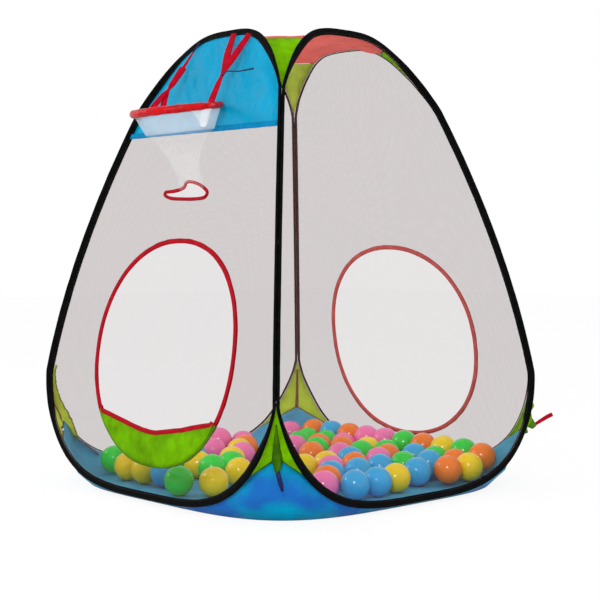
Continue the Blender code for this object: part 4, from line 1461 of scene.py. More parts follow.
@dataclass
class CornerCloth:
    """The gussets between neighbouring loops, and what is sewn to them."""

    shop: Workshop
    columns: int = 18
    apex_gap: float = 0.0035
    hem_width: float = 0.0042

    def row(self, edge: Vector, peak: float, seed: float, slack: float, bulge: float) -> list[Vector]:
        """One row of a gusset, from the front loop over the corner to the right loop."""
        width = (edge - mirrored(edge)).length
        line = []
        for column in range(self.columns + 1):
            share = column / self.columns
            point = corner_point(edge, share, peak, bulge)
            place = Vector((point.x, point.y, point.z * 0.45))
            fold = ripple(place, 0.028, seed) * 0.7 + crease(place, 0.035, seed + 5.0)
            arch = 4.0 * share * (1.0 - share)
            line.append(point + OUTWARD * fold * slack * arch * min(width / 0.05, 1.0))
        return line

    def sewn_edge(self, low: float, high: float, inner: float = 0.0) -> list[Vector]:
        """Where a gusset is sewn to the loop's right side between two heights, clear of the next loop."""
        loop = self.shop.loop
        return [
            loop.sewn(i) for i, (across, height) in enumerate(loop.points[:loop.top + 1])
            if low < height < high and across > inner and SHAPE.half_width(height) - across > self.apex_gap
        ]

    def lower_rows(self, corner: Corner, seed: float) -> Rows:
        """Rows of a bottom gusset from its apex down to the tray."""
        seam = SEAMS[corner]
        found = self.sewn_edge(seam.height, SHAPE.seam_start)[::-1] + [self.shop.loop.sewn_at(seam.height)]
        rows = []
        for edge in found:
            share = (edge.z - found[0].z) / (found[-1].z - found[0].z)
            rows.append(self.row(edge, seam.peak * share, seed, seam.slack, seam.bulge))
        return rows

    def upper_rows(self, seed: float) -> Rows:
        """Rows of a top gusset from its apex up to the roof."""
        found = self.sewn_edge(SHAPE.seam_end, SHAPE.loop_height, SHAPE.roof_half_flat)
        found.append(self.shop.loop.sewn_at(SHAPE.roof_height()))
        return [self.row(edge, 0.0, seed, 0.0035, SHAPE.gusset_bulge) for edge in found]

    def build(self) -> None:
        """Make every corner's gussets, hems and ties, and the loose cloth at the front left one."""
        finishes = self.shop.finishes
        for corner in Corner:
            seed = 3.0 + corner.value * 7.0
            # The back left and front left gussets take the paler copy of the lime: painted backlight
            lime = finishes.far_lime if corner in (Corner.BACK_LEFT, Corner.FRONT_LEFT) else finishes.lime
            tapes = [f"{side.label}_tape" for side in (Side(corner.value), Side((corner.value + 1) % 4))]
            low = self.lower_rows(corner, seed)
            for level, rows, held in (("top", self.upper_rows(seed), "stretched"), ("bottom", low, "hung")):
                piece = self.shop.sheet_piece(f"{corner.label}_{level}_gusset_cloth", rows, lime, corner.value)
                self.shop.bend(piece, corner, "lime_cloth", [f"{corner.label}_{level}_gusset"])
                sheet_of(piece, cut_size(rows))
            self.hems(corner, low)
            self.ties(corner, low)
        # The loose green cloth takes the same paler copy of the lime: painted backlight
        self.loose_edge("front_left_loose_green", (0.228, 0.062), 0.024, finishes.far_lime, "lime_cloth")
        # The loose blue cloth takes the lighter, lit copy of the blue: painted light
        self.loose_edge("front_left_loose_blue", (0.088, 0.026), 0.015, finishes.lining, "blue_cloth")

    def hems(self, corner: Corner, low: Rows) -> None:
        """The brown tape inside and the green hem outside, over the joint with the tray."""
        finishes, half = self.shop.finishes, self.hem_width / 2.0
        for label, sign, finish, slot in (
            ("seam_tape", -1.0, finishes.piping, "brown_piping"), ("seam_hem", 1.0, finishes.green_hem, "lime_cloth")
        ):
            rows = []
            for point, above in zip(low[-1], low[-2]):
                up_way = (above - point).normalized()
                centre = point + OUTWARD * sign * 0.0009
                rows.append([centre - up_way * half, centre + OUTWARD * sign * 0.0007, centre + up_way * half])
            piece = self.shop.sheet_piece(f"{corner.label}_{label}", rows, finish, corner.value)
            self.shop.bend(piece, corner, slot, [f"{corner.label}_corner_hem"])

    def loose_edge(
        self, name: str, span: tuple[float, float], width: float, finish: Material, slot: str
    ) -> None:
        """Crumpled cloth that hangs inward from the left loop at the front left corner, with its piping.

        Args:
            name: the piece's name.
            span: the heights that it hangs between.
            width: how far it reaches in.
            finish: its finish.
            slot: a material slot; not used.
        """
        quarters = Corner.FRONT_LEFT.value
        inward = Vector((-0.50, 0.86, 0.0)).normalized()
        steps, columns = 36, 6
        rows = []
        for step in range(steps + 1):
            share = step / steps
            height = span[0] + (span[1] - span[0]) * share
            place = Vector((height, width, share))
            reach = width * (0.15 + 0.85 * math.sin(math.pi * min(share, 0.99) ** 1.8) ** 0.8)
            reach *= 1.0 + 0.15 * ripple(place, 0.030, 3.0) + 0.06 * crease(place, 0.020, 1.0)
            over = min(share / 0.35, 1.0)
            base = SHAPE.on_panel(SHAPE.loop_width(height) - 0.008 + 0.011 * over, height, -0.0050 - 0.0035 * over)
            row = []
            for column in range(columns + 1):
                across = column / columns
                wave = 0.0050 * ripple(place + Vector((0.0, across * 0.02, 0.0)), 0.016, 8.0) * across
                row.append(base + inward * (reach * across) + Vector((wave, wave, wave * 0.6 - 0.004 * across)))
            rows.append(row)
        piece = self.shop.sheet_piece(name, rows, finish, quarters, 0.0007)
        self.shop.ride(piece, "left_side", slot)
        sheet_of(piece, cut_size(rows))
        out = Vector((0.74, -0.68, 0.0))
        edge = [
            (point, side * self.hem_width / 2.0) for point, side in with_sides([row[-1] for row in rows], out)
        ]
        hem = [[point - half + out * 0.0010, point + out * 0.0016, point + half + out * 0.0010] for point, half in edge]
        piped = self.shop.sheet_piece(f"{name}_piping", hem, self.shop.finishes.piping, quarters, 0.0009)
        self.shop.ride(piped, "left_side", "brown_piping")

    def strip(
        self, name: str, corner: Corner, line: Sequence[Vector], widths: Sequence[float], face: Vector,
        finish: Material, slot: str,
    ) -> None:
        """Make a loose strip of tape along a line at a corner, cupped a little.

        Args:
            name: the strip's name, after its corner's.
            corner: the corner.
            line: the points it goes through, as at the front right corner.
            widths: its width at each of them.
            face: the way its outer side shows.
            finish: its finish.
            slot: a material slot; not used.
        """
        rows = []
        for (point, side), width in zip(with_sides(line, face), widths):
            half = width / 2.0
            lift = face * half * 0.35
            rows.append([
                point - side * half, point - side * half * 0.4 + lift, point + side * half * 0.4 + lift,
                point + side * half,
            ])
        piece = self.shop.sheet_piece(f"{corner.label}_{name}", rows, finish, corner.value, 0.0008)
        self.shop.bend(piece, corner, slot, [f"{corner.label}_tie"])

    def ties(self, corner: Corner, low: Rows) -> None:
        """What hangs or sticks out at each corner: a tie, a strap end or a sewn strip."""
        finishes = self.shop.finishes
        middle = len(low[0]) // 2
        peak = low[-1][middle]
        along = Vector((1.0, 1.0, 0.0)).normalized()
        proud = OUTWARD * 0.0035

        def away(reach: float, rise: float) -> Vector:
            """A point out from the seam's peak and over it."""
            return peak + OUTWARD * reach + Vector((0.0, 0.0, rise))

        if corner is Corner.FRONT_RIGHT:
            fold = [low[int(len(low) * share)][middle] + proud * 1.3 for share in (0.30, 0.48, 0.64, 0.80, 0.96)]
            fold += [peak + proud * 1.4 + Vector((0.0, 0.0, rise)) for rise in (-0.012, -0.026)]
            widths = (0.002, 0.006, 0.010, 0.015, 0.019, 0.015, 0.007)
            self.strip("green_fold", corner, fold, widths, OUTWARD, finishes.green_hem, "lime_cloth")
            tail = [
                peak + proud * 1.5 + Vector((0.0, 0.0, rise)) + along * lean
                for rise, lean in ((-0.016, 0.0), (-0.030, 0.002), (-0.044, 0.006), (-0.058, 0.009))
            ]
            widths = (0.005, 0.008, 0.008, 0.004)
            self.strip("tie_tail", corner, tail, widths, OUTWARD, finishes.navy_tape, "navy_tape")
        elif corner is Corner.BACK_RIGHT:
            knot = ((-0.006, 0.030), (0.000, 0.020), (0.008, 0.008), (0.015, 0.004), (0.020, 0.006))
            widths = (0.006, 0.016, 0.020, 0.016, 0.007)
            line = [away(*place) for place in knot]
            self.strip("knot", corner, line, widths, along * -1.0, finishes.lime_tape, "lime_cloth")
            line = [away(*place) for place in ((0.016, 0.004), (0.028, 0.012), (0.042, 0.021), (0.054, 0.027))]
            widths = (0.005, 0.007, 0.008, 0.008)
            self.strip("strap_end", corner, line, widths, along * -1.0, finishes.strap, "red_cloth")
        else:
            line = [row[middle] - proud * 0.6 for row in low[len(low) // 4::max(len(low) // 9, 1)]]
            widths = [0.004 + 0.004 * step / max(len(line) - 1, 1) for step in range(len(line))]
            self.strip("sewn_strip", corner, line, widths, OUTWARD * -1.0, finishes.piping, "navy_tape")


class Half(Labelled):
    """The two halves of the roof and the tray, split from the front left corner to the back right one."""

    FRONT_RIGHT = (0, "front_side", "fold_right", (0.0, 1.0, 0.0))
    BACK_LEFT = (2, "left_side", "fold_back", (1.0, 0.0, 0.0))


@dataclass
class RoofAndTray:
    """The red roof and the blue floor tray, each in two halves."""

    shop: Workshop
    floor_half: float = 0.350
    floor_power: float = 3.9
    corner_steps: int = 16
    keep: float = 0.06
    tray_reach: float = 0.372
    ground_gap: float = 0.0009

    def corner_arc(self, edge: Vector, peak: float, bulge: float) -> list[Vector]:
        """A corner's edge from the front loop to the right loop, ends left out."""
        return [corner_point(edge, step / self.corner_steps, peak, bulge) for step in range(1, self.corner_steps)]

    @staticmethod
    def ordered(side: list[Vector], left: Vector, right: Vector) -> list[Vector]:
        """A side's edge from left to right between its two ends, both given as on the right."""
        return [Vector((-left.x, left.y, left.z)), *sorted(side, key=lambda point: point.x), right]

    def roof_side(self) -> list[Vector]:
        """The roof's edge along the front loop, from left to right."""
        loop = self.shop.loop
        limit = SHAPE.roof_height()
        end = loop.sewn_at(limit + 0.0012)
        side = [loop.sewn(i) for i, (_, height) in enumerate(loop.points) if height > limit + 0.002]
        return self.ordered(side, end, end)

    def tray_side(self, quarters: int) -> list[Vector]:
        """The tray's edge along one side's loop, seen as on the front one, from left to right."""
        loop = self.shop.loop
        right = SEAMS[Corner(quarters % 4)].height
        left = SEAMS[Corner((quarters - 1) % 4)].height
        side = [
            loop.sewn(i, 0.001) for i, (across, height) in enumerate(loop.points)
            if height < (right if across > 0.0 else left) - 0.003
        ]
        return self.ordered(side, loop.sewn_at(left - 0.0012), loop.sewn_at(right - 0.0012))

    def half_edge(
        self, sides: Sequence[list[Vector]], peaks: Sequence[float], bulges: Sequence[float], half: Half
    ) -> list[Vector]:
        """The edge of one half, over two panels from corner middle to corner middle.

        Args:
            sides: each panel's edge in turn from the front, as on the front panel.
            peaks: each corner's rise, from the front right one.
            bulges: how far each corner stands out, as a share of its width.
            half: which half.

        Returns:
            The edge's points.
        """
        start = half.value[0]
        arcs = [self.corner_arc(side[-1], peak, bulge) for side, peak, bulge in zip(sides, peaks, bulges)]
        middle = len(arcs[0]) // 2
        before, after = (start - 1) % 4, start + 1
        edge = []
        for points, quarters in (
            (arcs[before][middle:], before), (sides[start], start), (arcs[start], start),
            (sides[after], after), (arcs[after][:middle + 1], after),
        ):
            edge += [turned(point, quarters) for point in points]
        return edge

    def roof_rows(self, half: Half) -> Rows:
        """Rows of a roof half from its edge to its middle."""
        side = self.roof_side()
        edge = self.half_edge([side] * 4, [0.0] * 4, [SHAPE.gusset_bulge] * 4, half)
        top = max(point.z for point in side)
        rows = []
        for share in (0.0, 0.06, 0.13, 0.21, 0.30, 0.40, 0.52, 0.64, 0.76, 0.88, 0.999):
            line = []
            for point in edge:
                inner = Vector((point.x, point.y)) * (1.0 - share)
                height = point.z + (top - point.z) * smooth(share / 0.42)
                place = Vector((inner.x, inner.y, 0.0))
                free = math.sin(math.pi * min(share / 0.9, 1.0))
                height += -0.004 * smooth(share) + 0.0022 * free * ripple(place, 0.04, 2.0)
                height += 0.0016 * free * crease(place, 0.05, 4.0)
                line.append(Vector((inner.x, inner.y, height)))
            rows.append(line)
        return rows

    def ground_point(self, point: Vector) -> Vector:
        """Where the tray touches the ground below a point of its edge."""
        reach = (abs(point.x) ** self.floor_power + abs(point.y) ** self.floor_power) ** (1.0 / self.floor_power)
        return Vector((point.x, point.y, 0.0)) * (self.floor_half / reach) + Vector((0.0, 0.0, self.ground_gap))

    def tray_rows(self, half: Half, inset: float = 0.0) -> Rows:
        """Rows of a tray half from its edge down its side and in over the floor, `inset` metres inside it."""
        sides = [self.tray_side(quarters) for quarters in range(4)]
        seams = [SEAMS[corner] for corner in Corner]
        edge = self.half_edge(sides, [seam.peak for seam in seams], [seam.bulge for seam in seams], half)
        rows = []
        for part in range(8):
            share = part / 7
            line = []
            for point in edge:
                ground = self.ground_point(point)
                place = point.lerp(ground, share)
                outward = Vector((place.x, place.y, 0.0)).normalized()
                tall = min((point.z - ground.z) / 0.09, 1.0)
                belly = math.sin(math.pi * share) * (0.010 * tall + 0.002)
                spot = Vector((place.x, place.y, place.z * 0.7))
                fold = ripple(spot, 0.045, 5.0) * 0.5 + 0.9 * crease(spot, 0.055, 9.0)
                bellied = belly + fold * 0.006 * tall * math.sin(math.pi * share)
                place = place + outward * (bellied - inset)
                place.z = max(place.z, self.ground_gap + inset)
                line.append(place)
            rows.append(line)
        for share in (0.05, 0.12, 0.22, 0.34, 0.48, 0.62, 0.76, 0.90, 0.999):
            line = []
            for point in edge:
                ground = self.ground_point(point)
                place = Vector((ground.x * (1.0 - share), ground.y * (1.0 - share), 0.0))
                wave = 0.5 + 0.5 * ripple(place, 0.05, 8.0) + 0.6 * crease(place, 0.07, 3.0)
                place.z = self.ground_gap + inset + 0.0014 * wave * smooth(share / 0.1)
                line.append(place)
            rows.append(line)
        return rows

    def build(self) -> None:
        """Make both halves of the roof and of the tray."""
        finishes = self.shop.finishes
        side = self.roof_side()
        roof_reach = sum(-point.y for point in side) / len(side)
        roof, tray = (0.44, 0.24), (1.02, 0.52)
        for half in Half:
            _, body, joint, axis = half.value
            for kind, rows, finish, slot, node, size, held, reach in (
                ("roof", self.roof_rows(half), finishes.red, "red_cloth", "roof", roof, "stretched", roof_reach),
                ("tray", self.tray_rows(half), finishes.tray, "blue_cloth", "floor_tray", tray, "laid",
                 self.tray_reach),
                # A second sheet just inside the tray, in the lighter, lit copy of the blue: painted light on its inside
                ("tray_lining", self.tray_rows(half, 0.0010), finishes.lining, "blue_cloth", "floor_tray", tray,
                 "laid", self.tray_reach),
            ):
                mesh = grid_mesh(f"{kind}_{half.label}", rows)
                self.turn_faces(mesh, kind == "roof")
                piece = thicken(shown(mesh.name, mesh, finish), CLOTH_THICKNESS)
                self.shop.ride(piece, body, slot, [node])
                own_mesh(piece)
                sheet_of(piece, size)

    @staticmethod
    def turn_faces(mesh: Mesh, upward: bool) -> None:
        """Face a wide sheet up for the roof and down for the tray."""
        total = sum(face.normal.z * face.area for face in mesh.polygons)
        if (total > 0.0) != upward:
            mesh.flip_normals()


@dataclass
class BallHoop:
    """The hoop: a cloth-covered ring with a net down to the return slot, hung from two forked straps."""

    shop: Workshop
    across: float = 0.022
    height: float = 0.764
    radius: float = 0.084
    cover: float = 0.0062
    droop: float = 8.5
    steps: int = 120
    band: float = 0.040
    band_rows: int = 6
    funnel_rows: int = 20
    net_gap: float = 0.0022

    def __post_init__(self) -> None:
        """Find the ring's place."""
        droop = math.radians(self.droop)
        self.away = Vector((0.0, -math.cos(droop), -math.sin(droop)))
        self.up = self.away.cross(Vector((1.0, 0.0, 0.0)))
        seat = 0.0004 + SHAPE.gap + self.cover
        self.hinge = SHAPE.on_panel(self.across, self.height - SHAPE.lift, seat)
        self.centre = self.hinge + self.away * self.radius

    def ring_point(self, degrees: float, reach: float, rise: float) -> Vector:
        """A point round the ring: its turn, its distance from the middle and its rise over the ring's plane."""
        turn = math.radians(degrees)
        out = Vector((1.0, 0.0, 0.0)) * math.cos(turn) + self.away * math.sin(turn)
        return self.centre + out * reach + self.up * rise

    def cover_rows(self, sides: int = 16) -> Rows:
        """The gathered cloth round the ring."""
        rows = []
        for step in range(self.steps):
            degrees = 360.0 * step / self.steps
            turn = math.radians(degrees)
            line = []
            for side in range(sides):
                angle = 2.0 * math.pi * side / sides
                place = Vector((math.cos(turn), math.sin(turn), math.sin(angle) * 0.3)) * self.radius
                fold = ripple(place, 0.010, 4.0) * 0.10 + 0.13 * crease(place, 0.016, 1.0)
                girth = self.cover * (1.02 + fold + 0.22 * max(math.sin(turn), 0.0) ** 0.5)
                lift = 0.0012 * math.cos(turn) * max(math.sin(turn), 0.0) ** 0.5
                line.append(self.ring_point(
                    degrees, self.radius + girth * math.cos(angle), lift + girth * math.sin(angle)
                ))
            rows.append(line)
        return rows

    def off_panel(self, point: Vector) -> float:
        """The furthest back that the net may lie at a point's height."""
        return SHAPE.on_panel(0.0, max(point.z - SHAPE.lift, 0.0), self.net_gap).y

    def net_rows(self) -> Rows:
        """The band below the ring in its first rows, and the faint funnel down to the return slot."""
        rows = []
        for part in range(self.band_rows + self.funnel_rows + 1):
            in_band = min(part / self.band_rows, 1.0)
            below = max(part - self.band_rows, 0) / self.funnel_rows
            share = smooth(below) * 0.25 + below * 0.75
            axis = self.centre.lerp(SHAPE.on_panel(self.across, RETURN_SLOT.centre, 0.004), share)
            pinch = 1.0 - 0.72 * math.sin(math.pi * share ** 0.8)
            line = []
            for step in range(self.steps):
                degrees = 360.0 * step / self.steps
                turn = math.radians(degrees)
                taper = 1.0 - 0.22 * in_band
                gather = 1.0 + 0.022 * math.sin(9.0 * turn + 1.3) * in_band
                top = self.ring_point(degrees, self.radius * taper * gather, -self.cover * 0.6 - self.band * in_band)
                top.y = min(top.y, self.off_panel(top))
                low = SHAPE.on_panel(
                    self.across + (RETURN_SLOT.half_width - 0.012) * 0.72 * math.cos(turn),
                    RETURN_SLOT.centre + 0.004 - (RETURN_SLOT.half_height - 0.009) * math.sin(turn), 0.0040,
                )
                point = top.lerp(low, share)
                point.x = axis.x + (point.x - axis.x) * pinch
                wave = 0.0018 * ripple(point, 0.02, 2.0) * in_band * (1.0 - share)
                point = point + self.away * wave
                point.y = min(point.y, self.off_panel(point))
                line.append(point)
            rows.append(line)
        return rows

    def ribbon(
        self, name: str, line: Sequence[Vector], widths: Sequence[float], face: Vector,
        look: tuple[Material, str], nodes: Sequence[str], body: str = "",
    ) -> None:
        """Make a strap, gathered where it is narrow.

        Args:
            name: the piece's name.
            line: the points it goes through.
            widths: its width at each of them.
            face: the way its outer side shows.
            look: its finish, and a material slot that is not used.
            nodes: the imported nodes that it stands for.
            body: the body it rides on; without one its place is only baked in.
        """
        fine, wide = resampled(line, widths, 26)
        rows = []
        for (point, side), width in zip(with_sides(fine, face), wide):
            half = width / 2.0
            cup = face * (0.0016 * ripple(point, 0.012, 3.0) + 0.0006)
            rows.append([
                point - side * half, point - side * half * 0.5 + cup, point, point + side * half * 0.5 + cup * 0.7,
                point + side * half,
            ])
        finish, slot = look
        piece = self.shop.sheet_piece(name, rows, finish, thickness=0.0010)
        if body:
            self.shop.ride(piece, body, slot, nodes)
            return
        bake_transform(piece)
        self.shop.named(piece, slot, nodes)

    def strap_top(self, across: float) -> Vector:
        """Where a strap is sewn on the outside of the front loop's binding."""
        out = SHAPE.nose_radius + SHAPE.tape_thickness / 2.0 + 0.0008
        return self.shop.loop.point(self.shop.loop.near(across), -0.004, out)

    def build(self) -> None:
        """Make the cover, net, straps and strings."""
        finishes = self.shop.finishes
        cover = shown("hoop_sleeve", grid_mesh("hoop_sleeve", self.cover_rows(), True, True), finishes.cover)
        self.shop.ride(cover, "hoop", "red_cloth", ["hoop_cover"])
        low = SHAPE.on_panel(self.across, RETURN_SLOT.centre + 0.02, 0.004)
        rows = self.net_rows()
        for name, part, finish in (
            ("hoop_band", rows[:self.band_rows + 1], finishes.hoop_net),
            ("hoop_funnel", rows[self.band_rows:], finishes.funnel_net),
        ):
            net = shown(name, grid_mesh(name, part, False, True), finish)
            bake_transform(net)
            self.shop.named(net, "white_net", ["hoop_net"])
            sheet_of(net, cut_size(part))
        gather = [
            self.ring_point(degrees, self.radius * reach, rise) for degrees, reach, rise in
            ((6.0, 1.00, -0.006), (4.0, 0.96, -0.017), (2.0, 0.91, -0.028), (1.0, 0.87, -0.038))
        ]
        toward = Vector((0.70, -0.70, 0.0))
        white = (finishes.white_gather, "white_net")
        self.ribbon("hoop_net_gather", gather, (0.038, 0.028, 0.018, 0.010), toward, white, ["hoop_net"], "hoop")
        face = Vector((0.55, -0.80, 0.22)).normalized()
        right = ["hoop_strap_right"]
        self.left_strap(face, ["hoop_strap_left"])
        self.right_strap(face, right)
        tip = self.ring_point(0.0, self.radius, 0.0) + Vector((0.006, 0.0, 0.0))
        tail = [tip, tip + Vector((0.012, 0.003, 0.002)), tip + Vector((0.020, 0.004, 0.001))]
        self.ribbon("hoop_tail", tail, (0.009, 0.007, 0.003), face, (finishes.cover, "red_cloth"), right, "hoop")

    def left_strap(self, face: Vector, nodes: Sequence[str]) -> None:
        """Make the left strap: a loop at the binding, then one strap that forks to the ring."""
        red = (self.shop.finishes.strap, "red_cloth")
        navy = (self.shop.finishes.navy_tape, "navy_tape")
        feet = [self.ring_point(degrees, self.radius, self.cover + 0.0006) for degrees in (183.0, 199.0)]
        top = self.strap_top(-0.084)
        fork = top.lerp((feet[0] + feet[1]) / 2.0, 0.74) + face * 0.003
        knot = top.lerp(fork, 0.22) + face * 0.002
        self.ribbon("strap_left_loop", [top, knot], (0.005, 0.003), face, navy, nodes)
        line = [knot, *(top.lerp(fork, share) for share in (0.50, 0.56, 0.85)), fork]
        self.ribbon("strap_left", line, (0.004, 0.006, 0.0155, 0.0130, 0.006), face, red, nodes)
        for number, foot in enumerate(feet, 1):
            bulge = fork.lerp(foot, 0.35) + face * 0.003
            self.ribbon(f"strap_left_leg_{number}", [fork, bulge, foot], (0.007, 0.011, 0.013), face, red, nodes)

    def right_strap(self, face: Vector, nodes: Sequence[str]) -> None:
        """Make the right strap: two arms from the binding that join on the way to the ring, and a string."""
        red = (self.shop.finishes.strap, "red_cloth")
        navy = (self.shop.finishes.navy_tape, "navy_tape")
        tops = [self.strap_top(across) for across in (0.018, 0.074)]
        foot = self.ring_point(348.0, self.radius, self.cover + 0.0006)
        join = foot.lerp((tops[0] + tops[1]) / 2.0, 0.36) + face * 0.004
        for number, top in enumerate(tops, 1):
            line = [top, top.lerp(join, 0.5) + face * 0.002, join]
            self.ribbon(f"strap_right_arm_{number}", line, (0.011, 0.014, 0.007), face, red, nodes)
        line = [join, join.lerp(foot, 0.4) + face * 0.001, foot]
        self.ribbon("strap_right", line, (0.007, 0.011, 0.013), face, red, nodes)
        string = [join, *(join + Vector(way) for way in (
            (0.020, -0.004, 0.006), (0.050, -0.001, 0.004), (0.088, 0.004, 0.006),
        ))]
        self.ribbon("strap_right_string", string, (0.0030, 0.0022, 0.0022, 0.0030), face, navy, nodes)


def resampled(line: Sequence[Vector], widths: Sequence[float], steps: int) -> tuple[list[Vector], list[float]]:
    """Points and widths at even steps along a smooth line through a few points.

    Args:
        line: the points it goes through.
        widths: the strip's width at each of them.
        steps: how many pieces to cut it into.

    Returns:
        The fine points and their widths.
    """
    ends = [line[0] * 2.0 - line[1], *line, line[-1] * 2.0 - line[-2]]
    fine, wide = [], []
    for step in range(steps + 1):
        place = step / steps * (len(line) - 1)
        index = min(int(place), len(line) - 2)
        share = place - index
        fine.append(on_curve(ends[index:index + 4], share))
        wide.append(widths[index] + (widths[index + 1] - widths[index]) * smooth(share))
    return fine, wide


@dataclass
class PlayBalls:
    """The loose balls on the tray, poured out before the tent is folded. Places are in millimetres."""

    shop: Workshop
    radius: float = 0.0294
    seed: int = 7
    places: dict[BallColour, tuple[tuple[int, int, int], ...]] = field(default_factory=lambda: {
        BallColour.PINK: (
            (223, -113, 33), (92, 34, 33), (97, 170, 36), (-4, 155, 37), (-292, 272, 46), (-160, 166, 36),
            (-109, 269, 37), (-81, 316, 52), (-24, 317, 52), (-265, 15, 33), (-327, 83, 44), (-303, 135, 34),
            (-173, 21, 33),
        ),
        BallColour.ORANGE: (
            (179, -62, 33), (271, 191, 36), (95, 100, 33), (74, 222, 36), (225, 267, 37), (262, 310, 49),
            (-67, 130, 35), (-252, 312, 51), (-138, 219, 37), (-71, 227, 37), (-138, 317, 52), (91, 317, 52),
            (-255, 101, 33),
        ),
        BallColour.BLUE: (
            (257, -63, 33), (260, -5, 33), (234, 139, 33), (142, -15, 33), (153, 51, 33), (158, 110, 35),
            (197, 217, 37), (111, 266, 37), (48, 134, 36), (-195, 316, 52), (-104, -245, 33), (-227, -71, 33),
        ),
        BallColour.YELLOW: (
            (254, 55, 33), (279, 248, 37), (42, 5, 33), (44, 68, 33), (-25, 262, 37), (148, 318, 52),
            (-221, -251, 33), (-162, -252, 33), (46, -240, 33), (-140, -130, 33), (-321, 25, 42),
            (-221, 54, 33), (-139, -37, 33), (-10, -127, 33),
        ),
        BallColour.GREEN: (
            (172, 166, 36), (168, 267, 37), (4, 212, 37), (-100, 177, 37), (-224, 265, 37), (-198, 214, 37),
            (-166, 269, 37), (34, 317, 52), (205, 318, 52), (33, 262, 37), (-306, -226, 35), (-199, -142, 33),
            (-9, -283, 33), (-82, -139, 33), (-302, -30, 33), (-89, -81, 33),
        ),
    })

    def tree(self) -> NodeTree:
        """The tree that puts one moulded ball on every point, each turned its own way."""
        sheet = GrowSheet("ball_heap")
        start = sheet.start
        points = sheet.node("GeometryNodeMeshToPoints", {"Mesh": start["Geometry"]})
        ball = sheet.node("GeometryNodeMeshUVSphere", {"Segments": 32, "Rings": 20, "Radius": self.radius})
        where = sheet.node("GeometryNodeInputPosition")
        stored = {"Name": "ball_place", "Geometry": ball.outputs["Mesh"], "Value": where.outputs["Position"]}
        local = sheet.node("GeometryNodeStoreNamedAttribute", stored, data_type="FLOAT_VECTOR", domain="POINT")
        span = {"Min": (-math.pi,) * 3, "Max": (math.pi,) * 3, "Seed": start["Seed"]}
        turn = sheet.node("FunctionNodeRandomValue", span, data_type="FLOAT_VECTOR")
        placed = sheet.node("GeometryNodeInstanceOnPoints", {
            "Points": points.outputs["Points"], "Instance": local.outputs["Geometry"], "Rotation": turn.outputs[0],
        })
        shade = sheet.node("FunctionNodeRandomValue", {"Seed": start["Seed"]})
        stored = {"Name": "ball_tint", "Geometry": placed.outputs["Instances"], "Value": shade.outputs[1]}
        tinted = sheet.node("GeometryNodeStoreNamedAttribute", stored, data_type="FLOAT", domain="INSTANCE")
        return sheet.close(tinted.outputs["Geometry"])

    def build(self) -> None:
        """Lay the balls, one piece for each colour."""
        tree = self.tree()
        for colour, places in self.places.items():
            label, finish = colour.label, self.shop.finishes.balls[colour]
            mesh = bare_mesh(f"ball_places_{label}", [Vector(place) / 1000.0 for place in places], [])
            piece = grown(f"balls_{label}", mesh, tree, finish, self.seed + len(label))
            self.shop.ride(piece, "left_side", "hoop_plastic")


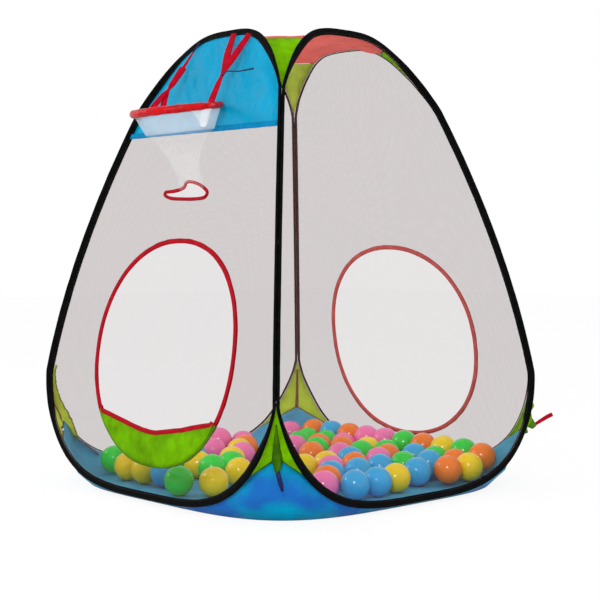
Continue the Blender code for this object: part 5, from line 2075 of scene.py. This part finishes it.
class Studio:
    """The pale floor, the light and the camera."""

    def build(self) -> None:
        """Make the stage."""
        self.floor()
        self.world()
        self.lamp("key_softbox", (2.4, -2.8, 1.9), 62.0, 0.8)
        self.lamp("fill_softbox", (-2.4, -1.8, 1.9), 24.0, 1.2)
        self.camera()

    @staticmethod
    def floor() -> None:
        """A white floor that shows white to the camera and keeps the soft shadow."""
        half, level = 9.0, -0.0002
        corners = [Vector((x * half, y * half, level)) for x, y in ((-1, -1), (1, -1), (1, 1), (-1, 1))]
        sheet = MaterialSheet("floor_white")
        plain = sheet.node("ShaderNodeBsdfDiffuse", {"Color": (0.86, 0.86, 0.86, 1.0)})
        glow = sheet.node("ShaderNodeEmission", {"Color": WHITE, "Strength": 1.0})
        path = sheet.node("ShaderNodeLightPath").outputs
        seen = sheet.math("MAXIMUM", path["Is Camera Ray"], path["Is Glossy Ray"])
        share = sheet.math("MULTIPLY", seen, 0.90)
        both = sheet.node("ShaderNodeMixShader", {0: share, 1: plain.outputs[0], 2: glow.outputs[0]})
        mesh = bare_mesh("studio_floor", corners, [(0, 1, 2, 3)])
        shown("studio_floor", mesh, sheet.close(both), soft=False)

    @staticmethod
    def world() -> None:
        """An even white surround."""
        world = bpy.data.worlds.new("studio")
        world.use_nodes = True
        bpy.context.scene.world = world
        sheet = NodeSheet(world.node_tree)
        plain = sheet.node("ShaderNodeBackground", {"Color": WHITE, "Strength": 1.0})
        sheet.node("ShaderNodeOutputWorld", {"Surface": plain.outputs[0]})

    @staticmethod
    def lamp(name: str, place: tuple[float, float, float], power: float, size: float) -> None:
        """A square soft lamp that faces the tent's middle."""
        light = bpy.data.lights.new(name, "AREA")
        light.energy = power
        light.size = size
        lamp = bpy.data.objects.new(name, light)
        lamp.location = place
        lamp.rotation_euler = (Vector((0.0, 0.0, 0.4)) - Vector(place)).to_track_quat("-Z", "Y").to_euler()
        bpy.context.scene.collection.objects.link(lamp)

    @staticmethod
    def camera() -> None:
        """The camera at the photograph's viewing angle."""
        data = bpy.data.cameras.new("photo_camera")
        data.lens = 83.2
        data.sensor_width = 36.0
        data.shift_x = 0.0188
        data.shift_y = -0.0698
        camera = bpy.data.objects.new("photo_camera", data)
        camera.location = (2.12785, -1.95383, 0.49717)
        camera.rotation_euler = (math.radians(90.0 - 0.62), 0.0, math.radians(47.44))
        bpy.context.scene.collection.objects.link(camera)
        bpy.context.scene.camera = camera
        bpy.context.scene.view_settings.view_transform = "Standard"


def dress_packed(finishes: Finishes) -> None:
    """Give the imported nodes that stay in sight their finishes."""
    by_end = {"frame_wire": finishes.steel, "wire_ferrule": finishes.brass, "hoop_ring": finishes.ring}
    for name, node in frame["nodes"].items():
        for end, finish in by_end.items():
            if name.endswith(end):
                for slot in node.material_slots:
                    slot.material = finish
                log.info("packed %s dressed", name)


def main() -> None:
    """Build the tent's looks, piece by piece."""
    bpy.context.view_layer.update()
    shop = Workshop()
    dress_packed(shop.finishes)
    BindingTape(shop).build()
    NetPanels(shop).build()
    OpeningTrim(shop).build()
    Backboard(shop).build()
    CornerCloth(shop).build()
    RoofAndTray(shop).build()
    BallHoop(shop).build()
    PlayBalls(shop).build()
    Studio().build()


if __name__ == "__main__":
    main()
